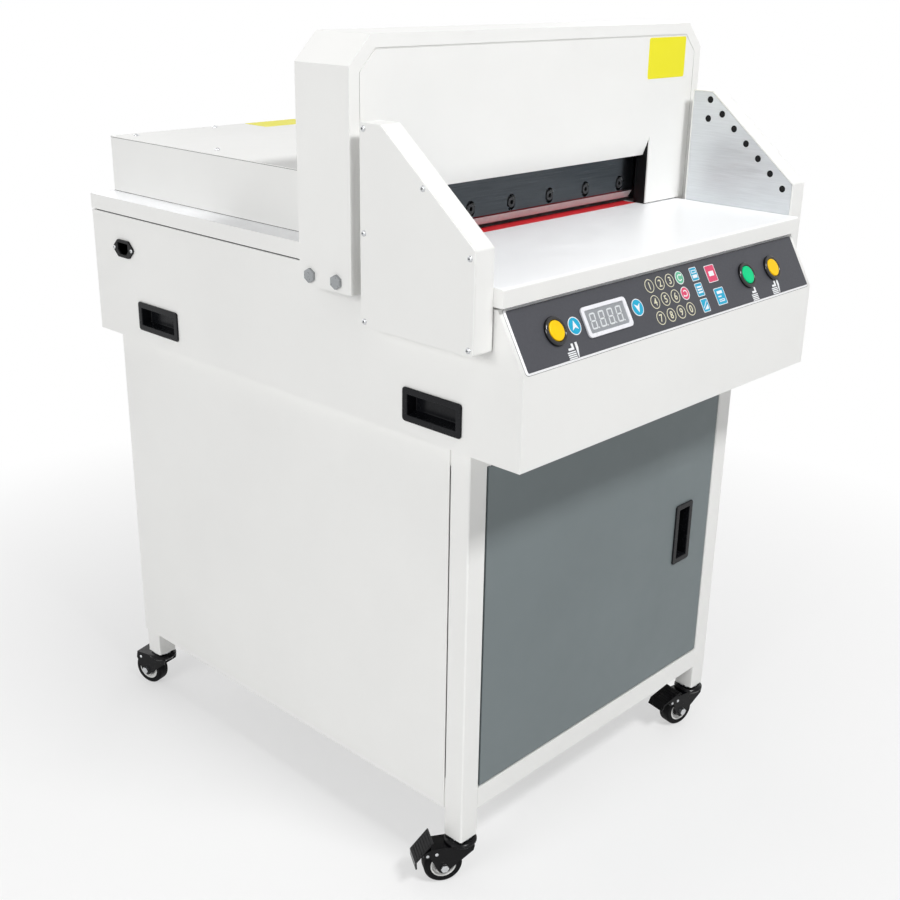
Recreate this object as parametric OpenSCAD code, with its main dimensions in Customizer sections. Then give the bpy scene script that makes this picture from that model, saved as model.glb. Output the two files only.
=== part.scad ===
// Electric paper cutter on a wheeled cabinet stand.
// X runs to the operator's right, Y to the back, Z up. The origin is on the floor, under the middle.

/* [Stand] */
// Height of the stand above the casters
stand_h = 530; // [420:1:650]
// Width of the stand
stand_w = 546; // [480:1:600]
// Depth of the stand
stand_d = 683; // [560:1:720]
// Distance of the stand's front behind the front of the housing
stand_front_set = 89; // [40:1:120]
// Side of the square tube
tube = 30; // [24:1:40]
// Wall of the square tube
tube_wall = 2; // [1.5:0.1:3]
// Height of the lower rails above the end of the legs
rail_rise = 38; // [25:1:80]
// Thickness of the cabinet panels
panel_t = 1.5; // [1:0.1:2]
// Gap all round the door
door_gap = 2.5; // [2:0.1:4]
// Depth of the folded door
door_d = 18; // [14:1:26]

/* [Casters] */
// Radius of the wheel
wheel_r = 25; // [20:0.5:32]
// Width of the tyre
wheel_w = 20; // [14:1:28]
// Height of the caster above its wheel
caster_crown = 13; // [13:0.5:20]
// Distance of the axle behind the swivel axis
trail = 24; // [20:1:32]
// Turn of the casters about their swivels: front left, front right, rear left, rear right
caster_turn = [148, 168, 104, 150]; // [0:1:359]
// How far the two brake pedals are pressed: left, right
brake_press = [30, 0]; // [0:1:30]

/* [Housing] */
// Width of the housing
body_w = 588; // [560:1:700]
// Depth of the housing
body_d = 790; // [700:1:900]
// Height of the housing below the table
body_h = 172; // [155:1:220]
// Sheet of the housing
sheet = 2; // [1.5:0.1:3]
// Height of the upright front below the console
front_h = 105; // [85:1:115]
// How far the console leans back
console_lean = 37; // [25:1:45]
// Gap between the console and the table edge
shadow_gap = 3; // [3:0.5:7]

/* [Table] */
// Thickness of the table at its rim
table_t = 20; // [16:1:26]
// Thickness of the table plate inside the rim
table_plate = 8; // [6:1:10]
// Overhang of the table past the housing's sides
table_over = 2; // [1:0.5:4]
// Distance of the table's front edge behind the front of the housing
table_set = 29; // [24:1:40]
// Width of the cutting stick
stick_w = 22; // [14:1:24]
// Depth of the cutting stick
stick_h = 10; // [8:1:12]

/* [Arch] */
// Height of the arch above the table
arch_h = 235; // [215:1:300]
// Overhang of the arch past the table's sides
arch_side = 30; // [24:1:45]
// Distance of the arch's front behind the front of the housing
arch_set = 222; // [190:1:260]
// Chamfer on the arch's upper corners
arch_chamfer = 31; // [20:1:45]
// How far the arch's sides reach below the table surface
arch_drop = 37; // [32:1:60]
// Width of the rim around the front cover
arch_rim = 14; // [10:1:20]
// Half the width of the paper opening
throat_half = 220; // [180:1:230]
// Height of the paper opening
throat_h = 66; // [50:1:80]
// Height of the lip folded back over the opening
lip_h = 24; // [16:1:32]
// How far the lip is folded back
lip_in = 9; // [5:1:10]

/* [Knife and clamp] */
// Distance of the blade behind the arch's front
blade_set = 22; // [18:1:32]
// Thickness of the beam that carries the blade
beam_d = 22; // [18:1:30]
// Thickness of the clamp
clamp_d = 20; // [20:1:30]
// Gap between the knife beam and the clamp
row_gap = 4; // [3:0.5:8]
// Room behind the clamp, inside the arch
rear_gap = 10; // [8:0.5:20]
// Blade thickness
blade_t = 8; // [6:0.5:9]
// Blade height
blade_h = 90; // [70:1:100]
// Height of the ground bevel
bevel_h = 10; // [8:0.5:14]
// Height of the cutting edge over the table at rest
knife_gap = 6.5; // [4:0.5:10]
// Height that the knife can still rise from rest
knife_rise = 36; // [20:1:45]
// Slant of the knife's travel from the vertical
knife_slant = 12; // [0:1:15]
// Spacing of the blade bolts
bolt_pitch = 74.6; // [40:0.2:100]
// Height that the clamp is lifted over the table at rest
clamp_lift = 43; // [25:1:50]
// Radius of the clamp's lead screws
clamp_screw_r = 8; // [6:0.5:9]

/* [Guards] */
// Thickness of a side guard
guard_t = 29; // [24:1:29]
// Length of a side guard
guard_l = 166; // [140:1:168]
// Gap between a side guard and the arch's front
guard_gap = 14; // [8:1:20]
// Height of a side guard above the table
guard_h = 150; // [130:1:170]
// How far a side guard reaches below the table surface
guard_drop = 68; // [50:1:80]
// Height of the guard's upright front edge above the table
guard_nose = 41; // [20:1:60]
// Length of the guard's level top
guard_top = 31; // [20:1:50]
// Number of light beams along the sloping edge
beam_count = 7; // [5:1:8]

/* [Rear housing] */
// Width of the housing over the rear table
rear_w = 516; // [490:1:540]
// Height of the housing over the rear table
rear_h = 73; // [60:1:90]
// Thickness of its lid
lid_t = 1.5; // [1:0.1:2]

/* [Back gauge] */
// Distance of the gauge's face behind the knife at rest
gauge_at = 295; // [150:1:380]
// Radius of the gauge's guide rods
rod_r = 8; // [6:0.5:10]
// Radius of the gauge's lead screw
gauge_screw_r = 6; // [5:0.5:8]

/* [Controls] */
// Radius of a push button's cap
cap_r = 11.5; // [9:0.5:15]
// Travel of a push button
cap_travel = 4; // [2:0.5:5]
// Width of the collar around a push button
collar_wall = 5; // [3.5:0.5:7]
// Height of a push button's collar
collar_h = 4; // [3:0.5:11]

/* [Handles] */
// Length of a recessed handle
grip_l = 90; // [80:1:110]
// Height of a recessed handle
grip_h = 40; // [34:1:46]
// Depth of a recessed handle
grip_d = 15; // [10:1:20]

/* [Hidden] */
$fn = 48;
seat = 0.3;      // gap between pieces that lie together without a fit
run = 0.05;      // radial clearance of a running fit
eps = 1;         // how far a cut runs past the face that it opens

// Heights
caster_h = 2 * wheel_r + caster_crown;
z_leg = caster_h;
z_rail = z_leg + rail_rise;
z_stand = z_leg + stand_h;
z_body = z_stand + body_h;
z_table = z_body + table_t;
z_arch = z_table + arch_h;

// Depths, from the front of the housing to whatever reaches furthest back
tread = 2.5;
rear_leg_set = stand_front_set + stand_d - panel_t - tube / 2;
function caster_back(turn) =
    rear_leg_set + trail * sin(turn) + wheel_r * abs(sin(turn)) + (wheel_w / 2 - tread) * abs(cos(turn));
depth = max(body_d, caster_back(caster_turn[2]), caster_back(caster_turn[3]));
y_front = -depth / 2;
y_rear = y_front + body_d;
y_stand = y_front + stand_front_set;
y_table = y_front + table_set;
table_rear_set = 2;
y_table_rear = y_rear - table_rear_set;
y_arch = y_front + arch_set;
arch_d = blade_set + blade_t + beam_d + row_gap + clamp_d + rear_gap;
y_arch_rear = y_arch + arch_d;

// Half widths
x_stand = stand_w / 2;
x_body = body_w / 2;
x_table = x_body + table_over;
x_arch = x_table + arch_side;
arch_w = 2 * x_arch;

// The row of pieces through the arch, front to back
y_blade = y_arch + blade_set;
y_knife = y_blade + blade_t;
y_beam_rear = y_knife + beam_d;
y_clamp = y_beam_rear + row_gap;
y_clamp_mid = y_clamp + clamp_d / 2;

// Knife travel, along its slant
z_edge = z_table + knife_gap;
stick_gap = 0.5;
knife_fall = knife_gap - stick_gap;
q_up = knife_rise / cos(knife_slant);
q_down = knife_fall / cos(knife_slant);
slide_up = [-sin(knife_slant), 0, cos(knife_slant)];

// Knife beam, side frames and crossbeam
blade_half = throat_half;
bolt_count = 2 * floor((blade_half - 25) / bolt_pitch + 0.5);
rod_w = 16;
rod_gap = 5;
rod_x = blade_half + rod_gap + rod_w / 2;
beam_half = rod_x + rod_w / 2 - 3;
side_gap = 4;
side_x = rod_x + rod_w / 2 + q_up * sin(knife_slant) + side_gap;
side_t = 12;
beam_lift = 15;
z_beam = z_edge + beam_lift;
z_beam_top = z_arch - knife_rise - 14;
cross_h = 65;
z_cross = z_arch - 35 - cross_h;
roller_r = 8;
roller_x = 150;
z_roller = z_beam_top - roller_r - q_down - 10;

// Clamp
clamp_low = 27;
z_clamp = z_table + clamp_lift;
clamp_up = z_cross - 15 - z_clamp - clamp_low;
clamp_screw_x = (throat_half + side_x) / 2;
pulley_r = 18;
pulley_h = 10;

// Bed under the table
bed_h = 30;
z_bed = z_body - bed_h;
z_pulley = z_bed - 35;
beam_w = 28;
x_bed = x_body - sheet;
bed_front = y_arch - 12;
bed_rear = y_clamp + clamp_d + 8;

// Crank
crank_r = (knife_rise + knife_fall) / 2;
pin_r = 6;
crank_x = -rod_x + 5;
z_yoke = z_bed - 61;
z_crank = z_yoke + crank_r - knife_fall;
phi_rest = 180 * q_down / (q_up + q_down);

// Guards
y_guard = y_arch - guard_gap;
plate_t = 2;
lens_r = 4.5;

// Back gauge
gauge_w = 24;
gauge_y = y_knife + gauge_at;
gauge_arm = 40;
gauge_mid = gauge_y + gauge_arm;
carriage_l = 40;
z_rod = z_bed + 8;
rod_x_half = 110;
bar_w = 12;
y_bar = y_rear - 29;
motor_l = 48;
motor_w = 57;

// Console
collar_r = cap_r + collar_wall;
console_h = z_body - shadow_gap - (z_stand + front_h);
console_l = norm([console_lean, console_h]);
console_tilt = atan2(console_h, console_lean);
overlay_t = 1.5;
overlay_inset = 3;
overlay_side = 8;

// Colours
WHITE = [0.90, 0.90, 0.88];
GREY = [0.36, 0.39, 0.40];
BLACK = [0.05, 0.05, 0.055];
STEEL = [0.62, 0.63, 0.65];
DARK = [0.22, 0.23, 0.25];
RED = [0.75, 0.08, 0.10];

// Shared shapes

// Points of a polygon with each corner rounded to radius r
function round_corner(a, b, c, r, n = 6) =
    let (u = (a - b) / norm(a - b), v = (c - b) / norm(c - b))
    let (half = acos(u * v) / 2, m = (u + v) / norm(u + v))
    let (o = b + m * r / sin(half), s = b + u * r / tan(half), e = b + v * r / tan(half))
    let (a0 = atan2(s.y - o.y, s.x - o.x), a1 = atan2(e.y - o.y, e.x - o.x))
    let (turn = (a1 - a0 + 540) % 360 - 180)
    [for (i = [0:n]) o + r * [cos(a0 + turn * i / n), sin(a0 + turn * i / n)]];
function rounded(points, r) =
    let (k = len(points))
    [for (i = [0:k - 1]) each round_corner(points[(i + k - 1) % k], points[i], points[(i + 1) % k], r)];

module rounded_rect(w, h, r) {
    polygon(rounded([[-w / 2, -h / 2], [w / 2, -h / 2], [w / 2, h / 2], [-w / 2, h / 2]], r));
}

// Box from one corner to the opposite one
module box(a, b) {
    translate(a) cube(b - a);
}

// Extrudes a drawing in Y and Z along X, between two X values
module along_x(x0, x1) {
    translate([x0, 0, 0]) rotate([90, 0, 90]) linear_extrude(x1 - x0) children();
}

// Extrudes a drawing in X and Z along Y, between two Y values
module along_y(y0, y1) {
    translate([0, y1, 0]) rotate([90, 0, 0]) linear_extrude(y1 - y0) children();
}

module both_sides() {
    children();
    mirror([1, 0, 0]) children();
}

// Hollow square tube along Z, standing on its lower corner
module tube_z(x, y, z0, z1) {
    corner = 2.5;
    translate([x + tube / 2, y + tube / 2, z0]) linear_extrude(z1 - z0) difference() {
        rounded_rect(tube, tube, corner);
        square(tube - 2 * tube_wall, center = true);
    }
}

module tube_x(x0, x1, y, z) {
    along_x(x0, x1) translate([y + tube / 2, z + tube / 2]) difference() {
        square(tube, center = true);
        square(tube - 2 * tube_wall, center = true);
    }
}

module tube_y(x, y0, y1, z) {
    along_y(y0, y1) translate([x + tube / 2, z + tube / 2]) difference() {
        square(tube, center = true);
        square(tube - 2 * tube_wall, center = true);
    }
}

// Recessed pull: flange in the XY plane, its face towards +Z, its cup behind
grip_wall = 2;
grip_rim = 6;
grip_flange = 2.5;
module grip_hole() {
    rounded_rect(grip_l - 2 * grip_rim + 2 * seat, grip_h - 2 * grip_rim + 2 * seat, 3 + seat);
}
module grip() {
    cup_l = grip_l - 2 * grip_rim;
    cup_h = grip_h - 2 * grip_rim;
    color(BLACK) difference() {
        union() {
            linear_extrude(grip_flange) rounded_rect(grip_l, grip_h, 4);
            translate([0, 0, -grip_d]) linear_extrude(grip_d + eps) rounded_rect(cup_l, cup_h, 3);
        }
        // The floor of the cup slopes down towards its back
        along_x(-cup_l / 2 + grip_wall, cup_l / 2 - grip_wall) polygon([
            [-cup_h / 2 + grip_wall, grip_flange + eps],
            [-cup_h / 2 + grip_wall, -grip_d / 3],
            [-cup_h / 2 + 2 * grip_wall, -grip_d + grip_wall],
            [cup_h / 2 - grip_wall, -grip_d + grip_wall],
            [cup_h / 2 - grip_wall, grip_flange + eps]
        ]);
    }
}

// Stand

front_leg_x = x_stand - tube;
rear_leg_x = x_stand - panel_t - tube;
y_stand_rear = y_stand + stand_d;
rear_leg_y = y_stand_rear - panel_t - tube;
front_leg_mid = [x_stand - tube / 2, y_stand + tube / 2];
rear_leg_mid = [rear_leg_x + tube / 2, rear_leg_y + tube / 2];

// How far a rail runs into the wall of the leg that it is welded to
weld = tube_wall / 2;
module stand_frame() {
    color(WHITE) {
        both_sides() {
            tube_z(front_leg_x, y_stand, z_leg, z_stand);
            tube_z(rear_leg_x, rear_leg_y, z_leg, z_stand);
            for (z = [z_rail, z_stand - tube])
                tube_y(rear_leg_x, y_stand + tube - weld, rear_leg_y + weld, z);
        }
        for (z = [z_rail, z_stand - tube]) {
            tube_x(-front_leg_x - weld, front_leg_x + weld, y_stand, z);
            tube_x(-rear_leg_x - weld, rear_leg_x + weld, rear_leg_y, z);
        }
    }
}

panel_gap = 1;
module side_panel() {
    box([x_stand - panel_t, y_stand + tube + panel_gap, z_rail], [x_stand, y_stand_rear, z_stand - seat]);
    // The rear edge is folded round the leg
    box([x_stand - 2 * panel_t - tube / 2, y_stand_rear - panel_t, z_rail],
        [x_stand - panel_t, y_stand_rear, z_stand - seat]);
}

module stand_left_panel() {
    color(WHITE) mirror([1, 0, 0]) side_panel();
}

module stand_right_panel() {
    color(WHITE) side_panel();
}

module stand_rear_panel() {
    x_edge = x_stand - 2 * panel_t - tube / 2 - panel_gap;
    color(WHITE) box([-x_edge, y_stand_rear - panel_t, z_rail], [x_edge, y_stand_rear, z_stand - seat]);
}

z_floor = z_rail + tube;
floor_lip = 14;
module stand_floor() {
    x_edge = rear_leg_x + tube - seat;
    y_edge = [y_stand + tube + seat, rear_leg_y + tube - seat];
    color(WHITE) difference() {
        union() {
            box([-x_edge, y_edge[0], z_floor], [x_edge, y_edge[1], z_floor + panel_t]);
            // Upturned edges at both sides and the back
            both_sides() box([x_edge - panel_t, y_edge[0], z_floor],
                [x_edge, y_edge[1], z_floor + floor_lip]);
            box([-x_edge, y_edge[1] - panel_t, z_floor], [x_edge, y_edge[1], z_floor + floor_lip]);
        }
        both_sides() for (y = [y_stand, rear_leg_y])
            box([rear_leg_x - seat, y - seat, z_floor - eps],
                [x_stand, y + tube + seat, z_floor + floor_lip + eps]);
    }
}

// Door
door_half = front_leg_x - door_gap;
z_door = z_floor + door_gap;
z_door_top = z_stand - tube - door_gap;
door_face = y_stand + 0.5;
hinge_in = 4.5;
hinge_r = 3;
hinge_at = [-door_half + hinge_in, door_face + hinge_in];
handle_at = [door_half - 65, (z_door + z_door_top) / 2];
pin_reach = 8;

module door() {
    color(GREY) difference() {
        box([-door_half, door_face, z_door], [door_half, door_face + door_d, z_door_top]);
        box([-door_half + panel_t, door_face + panel_t, z_door + panel_t],
            [door_half - panel_t, door_face + door_d + eps, z_door_top - panel_t]);
        translate([handle_at.x, door_face - eps, handle_at.y]) rotate([-90, 0, 0]) rotate([0, 0, 90])
            linear_extrude(panel_t + 2 * eps) grip_hole();
        translate([hinge_at.x, hinge_at.y, z_door - eps])
            cylinder(r = hinge_r + run, h = z_door_top - z_door + 2 * eps);
    }
}

module door_handle() {
    translate([handle_at.x, door_face, handle_at.y]) rotate([90, 0, 0]) rotate([0, 0, -90]) grip();
}

module door_hinge_pins() {
    color(STEEL) for (z = [z_floor, z_stand - tube - door_gap - pin_reach])
        translate([hinge_at.x, hinge_at.y, z]) cylinder(r = hinge_r, h = door_gap + pin_reach);
}

// Casters, drawn about the swivel axis with the end of the leg at height 0

washer_t = 2;
dish_r = 21;
dish_z = -12;
king_r = 6;
king_head = 9;
fork_in = wheel_w / 2 + 1.5;
fork_t = 2.5;
axle_r = 4;
axle_z = wheel_r - caster_h;
hub_r = 17;
brake_at = [trail + wheel_r - 3, axle_z + wheel_r - 4];
brake_pin_r = 2;
brake_eye = 5;

module at_caster(i) {
    legs = [[-front_leg_mid.x, front_leg_mid.y], front_leg_mid, [-rear_leg_mid.x, rear_leg_mid.y],
        rear_leg_mid];
    translate([legs[i].x, legs[i].y, z_leg]) rotate([0, 0, caster_turn[i]]) children();
}

// A swivel pin under each leg, screwed into a plug in the tube
module caster_stems() {
    plug_h = 26;
    plug_w = tube - 2 * tube_wall - 2 * seat;
    stem_r = 5;
    for (i = [0:3]) at_caster(i) {
        color(STEEL) {
            translate([0, 0, -washer_t]) cylinder(r = tube / 2, h = washer_t);
            translate([0, 0, dish_z - 4]) cylinder(r = king_r, h = 4 - dish_z - washer_t + eps);
            translate([0, 0, dish_z - 6]) cylinder(r = king_head, h = 3);
            cylinder(r = stem_r, h = plug_h);
        }
        color(BLACK) rotate([0, 0, -caster_turn[i]]) difference() {
            linear_extrude(plug_h) square(plug_w, center = true);
            translate([0, 0, -eps]) cylinder(r = stem_r + run, h = plug_h + 2 * eps);
        }
    }
}

module fork(braked) {
    cheek = [[-dish_r + 5, dish_z + 3], [-dish_r + 7, dish_z - 6], [trail - 8, axle_z - 4],
        [trail + 8, axle_z - 4],
             [trail + wheel_r - 6, dish_z - 8], [trail + wheel_r - 8, dish_z + 3]];
    color(BLACK) difference() {
        union() {
            // Dish that holds the swivel bearing
            rotate_extrude() polygon([
                [0, -washer_t - 0.5], [tube / 2, -washer_t - 0.5], [dish_r - 2, -washer_t - 2],
                [dish_r, -washer_t - 4], [dish_r, dish_z + 4], [dish_r - 3, dish_z], [0, dish_z]]);
            // Roof over the wheel
            box([0, -fork_in - fork_t, dish_z], [trail + wheel_r - 8, fork_in + fork_t, dish_z + 3]);
            for (s = [-1, 1]) translate([0, s * (fork_in + fork_t / 2), 0]) {
                along_y(-fork_t / 2, fork_t / 2) union() {
                    polygon(rounded(cheek, 2));
                    translate([trail, axle_z]) circle(r = 9);
                }
                if (braked) along_y(-fork_t / 2, fork_t / 2) union() {
                    translate(brake_at) circle(r = brake_eye);
                    polygon([[trail, dish_z + 3], [trail + wheel_r - 8, dish_z + 3],
                        brake_at + [2, brake_eye - 0.5],
                             brake_at + [-4, -3], [trail, dish_z - 8]]);
                }
            }
        }
        translate([0, 0, dish_z - eps]) cylinder(r = king_r + run, h = -dish_z);
        translate([trail, 0, axle_z]) rotate([90, 0, 0])
            cylinder(r = axle_r, h = 4 * fork_in, center = true);
        if (braked) translate([brake_at.x, 0, brake_at.y]) rotate([90, 0, 0])
            cylinder(r = brake_pin_r, h = 4 * fork_in, center = true);
    }
    // Axle bolt and nut, and the pin of the brake
    color(STEEL) translate([trail, 0, axle_z]) rotate([90, 0, 0]) {
        cylinder(r = axle_r, h = 2 * (fork_in + fork_t), center = true);
        for (s = [0, 1]) mirror([0, 0, s]) translate([0, 0, fork_in + fork_t])
            cylinder(r = 5.5, h = 4, $fn = 6);
    }
    if (braked) color(STEEL) translate([brake_at.x, 0, brake_at.y]) rotate([90, 0, 0])
        cylinder(r = brake_pin_r, h = 2 * (fork_in + fork_t) + 2, center = true);
}

module wheel() {
    hub_w = wheel_w - 1;
    translate([trail, 0, axle_z]) rotate([90, 0, 0]) {
        color("white") rotate_extrude() polygon([
            [axle_r + run, -hub_w / 2 - 1], [8, -hub_w / 2 - 1], [9.5, -hub_w / 2 + 3],
                [hub_r - 3, -hub_w / 2 + 3],
            [hub_r - 2, -hub_w / 2], [hub_r, -hub_w / 2], [hub_r, hub_w / 2], [hub_r - 2, hub_w / 2],
            [hub_r - 3, hub_w / 2 - 3], [9.5, hub_w / 2 - 3], [8, hub_w / 2 + 1],
                [axle_r + run, hub_w / 2 + 1]]);
        color(BLACK) rotate_extrude() polygon([
            [hub_r + run, -wheel_w / 2], [wheel_r - tread, -wheel_w / 2], [wheel_r, -wheel_w / 2 + tread],
            [wheel_r, wheel_w / 2 - tread], [wheel_r - tread, wheel_w / 2], [hub_r + run, wheel_w / 2]]);
    }
}

// Foot pedal: a plate over the roof that tips about its pin, with a nose that comes against the tread
module brake(press) {
    barrel = 3.5;
    half = fork_in - 0.7;
    pedal = fork_in + fork_t + 1;
    pedal_t = 2;
    lean = 20;
    full_press = 30;
    away = norm([trail, axle_z] - brake_at);
    nose_r = 1.8;
    nose = away - wheel_r - 0.4 - nose_r;
    down = atan2(brake_at.y - axle_z, brake_at.x - trail);
    roof_end = [trail + wheel_r - 8, dish_z + 3] - brake_at;
    lift = max(brake_eye, roof_end.y * cos(lean) + roof_end.x * sin(lean)) + 0.4;
    color(BLACK) translate([brake_at.x, 0, brake_at.y]) rotate([0, press, 0]) difference() {
        union() {
            along_y(-half, half) union() {
                circle(r = barrel);
                rotate(down + 180 + full_press + 5) translate([nose, 0]) circle(r = nose_r);
                rotate(-lean) polygon([[-3, 0], [-4, lift + 0.5], [5, lift + 0.5], [3, 0]]);
            }
            // Plate with its lip
            along_y(-pedal, pedal) rotate(-lean) polygon(rounded([[-19.5, lift], [14.5, lift],
                [21.5, lift - 6.5], [23, lift - 5], [15.5, lift + pedal_t], [-19.5, lift + pedal_t]], 0.7));
        }
        rotate([90, 0, 0]) cylinder(r = brake_pin_r + run, h = 4 * fork_in, center = true);
    }
}

module caster_fl_fork() { at_caster(0) fork(true); }
module caster_fr_fork() { at_caster(1) fork(true); }
module caster_rl_fork() { at_caster(2) fork(false); }
module caster_rr_fork() { at_caster(3) fork(false); }
module caster_fl_wheel() { at_caster(0) wheel(); }
module caster_fr_wheel() { at_caster(1) wheel(); }
module caster_rl_wheel() { at_caster(2) wheel(); }
module caster_rr_wheel() { at_caster(3) wheel(); }
module caster_fl_brake() { at_caster(0) brake(brake_press[0]); }
module caster_fr_brake() { at_caster(1) brake(brake_press[1]); }

// Housing

z_console = z_stand + front_h;
ledge = 8;
wall_gap = 2.5;
module housing_profile(inset, top) {
    polygon([
        [y_front + inset, z_stand + inset], [y_rear - inset, z_stand + inset], [y_rear - inset, top],
        [y_front + console_lean + ledge + inset, top],
        [y_front + console_lean + ledge + inset, z_console + console_h - inset],
        [y_front + console_lean + inset * tan(45 - console_tilt / 4), z_console + console_h - inset],
        [y_front + inset, z_console - inset * tan((90 - console_tilt) / 2)]
    ]);
}

// Places a drawing on the console: x from the middle, s up the slope, +Z out of the face
module on_console(x, s) {
    translate([x, y_front, z_console]) rotate([console_tilt, 0, 0]) translate([0, s, 0]) children();
}

button_x = [-225, 155, 216];
button_s = console_l / 2;
barrel_r = cap_r + 2;
display_at = [-136, console_l / 2 - 1];
display_size = [80, 35];
window_size = [66, 24];
inlet_at = [y_rear - 74, z_body - 47];
inlet_size = [28, 20];
grip_y = [y_front + 128, y_rear - 145];
grip_z = z_stand + 37;

module grip_at_side(y) {
    translate([x_body, y, grip_z]) rotate([90, 0, 90]) children();
}

module base_housing() {
    color(WHITE) difference() {
        along_x(-x_body, x_body) housing_profile(0, z_body - wall_gap);
        along_x(-x_body + sheet, x_body - sheet) housing_profile(sheet, z_body + eps);
        both_sides() for (y = grip_y) grip_at_side(y) translate([0, 0, -sheet - eps])
            linear_extrude(sheet + 2 * eps) grip_hole();
        translate([-x_body - eps, inlet_at[0] - inlet_size[0] / 2 - seat,
            inlet_at[1] - inlet_size[1] / 2 - seat])
            cube([sheet + 2 * eps, inlet_size[0] + 2 * seat, inlet_size[1] + 2 * seat]);
        for (x = button_x) on_console(x, button_s) translate([0, 0, -sheet - eps])
            cylinder(r = barrel_r + seat, h = sheet + 2 * eps);
        on_console(display_at[0], display_at[1]) translate([0, 0, -sheet / 2])
            cube([window_size[0] + 2 * seat, window_size[1] + 2 * seat, sheet + 2 * eps], center = true);
    }
}

// Cast frame that carries the table, the arch and the gauge
module bed_frame() {
    boss_d = 25;
    boss_half = 20;
    slot_half = rod_w / 2 + q_up * sin(knife_slant) + 2;
    color(DARK) difference() {
        union() {
            both_sides() box([x_bed - beam_w, y_table + 20, z_bed], [x_bed, y_rear - 10, z_body]);
            box([-x_bed, bed_front, z_bed], [x_bed, bed_rear, z_body]);
            box([-x_bed, y_bar, z_bed - 8], [x_bed, y_bar + bar_w, z_body]);
            box([-boss_half, bed_rear - eps, z_rod - 16], [boss_half, bed_rear + boss_d, z_body]);
        }
        // Way for the pull rod, the clamp screws, the guide rods and the lead screw
        box([-rod_x - slot_half, y_blade - 3, z_bed - eps],
            [-rod_x + slot_half, y_knife + 3, z_body + eps]);
        for (s = [-1, 1]) {
            translate([s * clamp_screw_x, y_clamp_mid, z_bed - eps])
                cylinder(r = clamp_screw_r + 2, h = bed_h + 2 * eps);
            translate([s * rod_x_half, bed_rear - 20, z_rod]) rotate([-90, 0, 0])
                cylinder(r = rod_r + run, h = body_d);
        }
        translate([0, bed_rear + boss_d - 15, z_rod]) rotate([-90, 0, 0])
            cylinder(r = gauge_screw_r + run, h = body_d);
    }
}

// Table
rim = 14;
neck = 10;
neck_l = 24;
slot_front = bed_rear + 32;
slot_rear = y_bar - motor_l - carriage_l / 2 + neck_l / 2;
nose_r = 2.5;
y_stick = y_blade - 5.5;
module table() {
    slot_half = rod_w / 2 + q_up * sin(knife_slant) + 1;
    color(WHITE) difference() {
        box([-x_table, y_table, z_body], [x_table, y_table_rear, z_table]);
        // Hollow underside, apart from the thick strip over the bed
        box([-x_table + rim, y_table + rim, z_body - eps],
            [x_table - rim, bed_front, z_table - table_plate]);
        box([-x_table + rim, bed_rear, z_body - eps],
            [x_table - rim, y_table_rear - rim, z_table - table_plate]);
        // Groove of the cutting stick
        box([-throat_half - seat, y_stick - seat, z_table - stick_h],
            [throat_half + seat, y_stick + stick_w + seat, z_table + eps]);
        // Way for the pull rod, the clamp screws and the gauge's neck
        box([-rod_x - slot_half, y_blade - 2, z_body - eps],
            [-throat_half - 2, y_knife + 2, z_table + eps]);
        for (s = [-1, 1]) translate([s * clamp_screw_x, y_clamp_mid, z_body - eps])
            cylinder(r = clamp_screw_r + 2, h = table_t + 2 * eps);
        box([-neck / 2 - 1.5, slot_front, z_body - eps], [neck / 2 + 1.5, slot_rear, z_table + eps]);
        // Rounded front edge
        translate([0, y_table + nose_r, z_table - nose_r]) difference() {
            box([-x_table - eps, -nose_r - eps, 0], [x_table + eps, 0, nose_r + eps]);
            rotate([0, 90, 0]) cylinder(r = nose_r, h = 2 * x_table + 4 * eps, center = true);
        }
    }
}

module cutting_stick() {
    color(RED) box([-throat_half, y_stick, z_table - stick_h], [throat_half, y_stick + stick_w, z_table]);
}

module lift_handles() {
    both_sides() for (y = grip_y) grip_at_side(y) grip();
}

// Appliance inlet: flange, socket and three flat pins, on the left side
module power_inlet() {
    flange = [50, 24];
    depth = 17;
    wall = 2;
    pin = [2, 4, 12];
    translate([-x_body, inlet_at[0], inlet_at[1]]) rotate([90, 0, -90]) {
        color(BLACK) difference() {
            union() {
                linear_extrude(3) polygon(rounded([[-flange.x / 2, 0], [-flange.x / 4, -flange.y / 2],
                    [flange.x / 4, -flange.y / 2], [flange.x / 2, 0], [flange.x / 4, flange.y / 2],
                    [-flange.x / 4, flange.y / 2]], 4));
                translate([0, 0, -depth / 2])
                    cube([inlet_size[0], inlet_size[1], depth + 2], center = true);
            }
            translate([0, 0, -depth + wall]) linear_extrude(depth + 4) polygon([
                [-inlet_size[0] / 2 + wall, inlet_size[1] / 2 - wall], [-inlet_size[0] / 2 + wall, -2],
                [-inlet_size[0] / 2 + wall + 5, -inlet_size[1] / 2 + wall],
                [inlet_size[0] / 2 - wall - 5, -inlet_size[1] / 2 + wall], [inlet_size[0] / 2 - wall, -2],
                [inlet_size[0] / 2 - wall, inlet_size[1] / 2 - wall]]);
        }
        color(STEEL) for (p = [[-7, -1], [0, 3], [7, -1]])
            translate([p.x - pin.x / 2, p.y - pin.y / 2, -depth + wall]) cube(pin);
    }
}

// Console

module console_overlay() {
    l = console_l - 2 * overlay_inset;
    w = body_w - 2 * overlay_side;
    color(DARK) difference() {
        on_console(0, console_l / 2) linear_extrude(overlay_t) rounded_rect(w, l, 2);
        for (x = button_x) on_console(x, button_s) translate([0, 0, -eps])
            cylinder(r = barrel_r + seat, h = overlay_t + 2 * eps);
        on_console(display_at[0], display_at[1])
            cube([window_size[0] + 2 * seat, window_size[1] + 2 * seat, 4 * overlay_t], center = true);
    }
}

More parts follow.
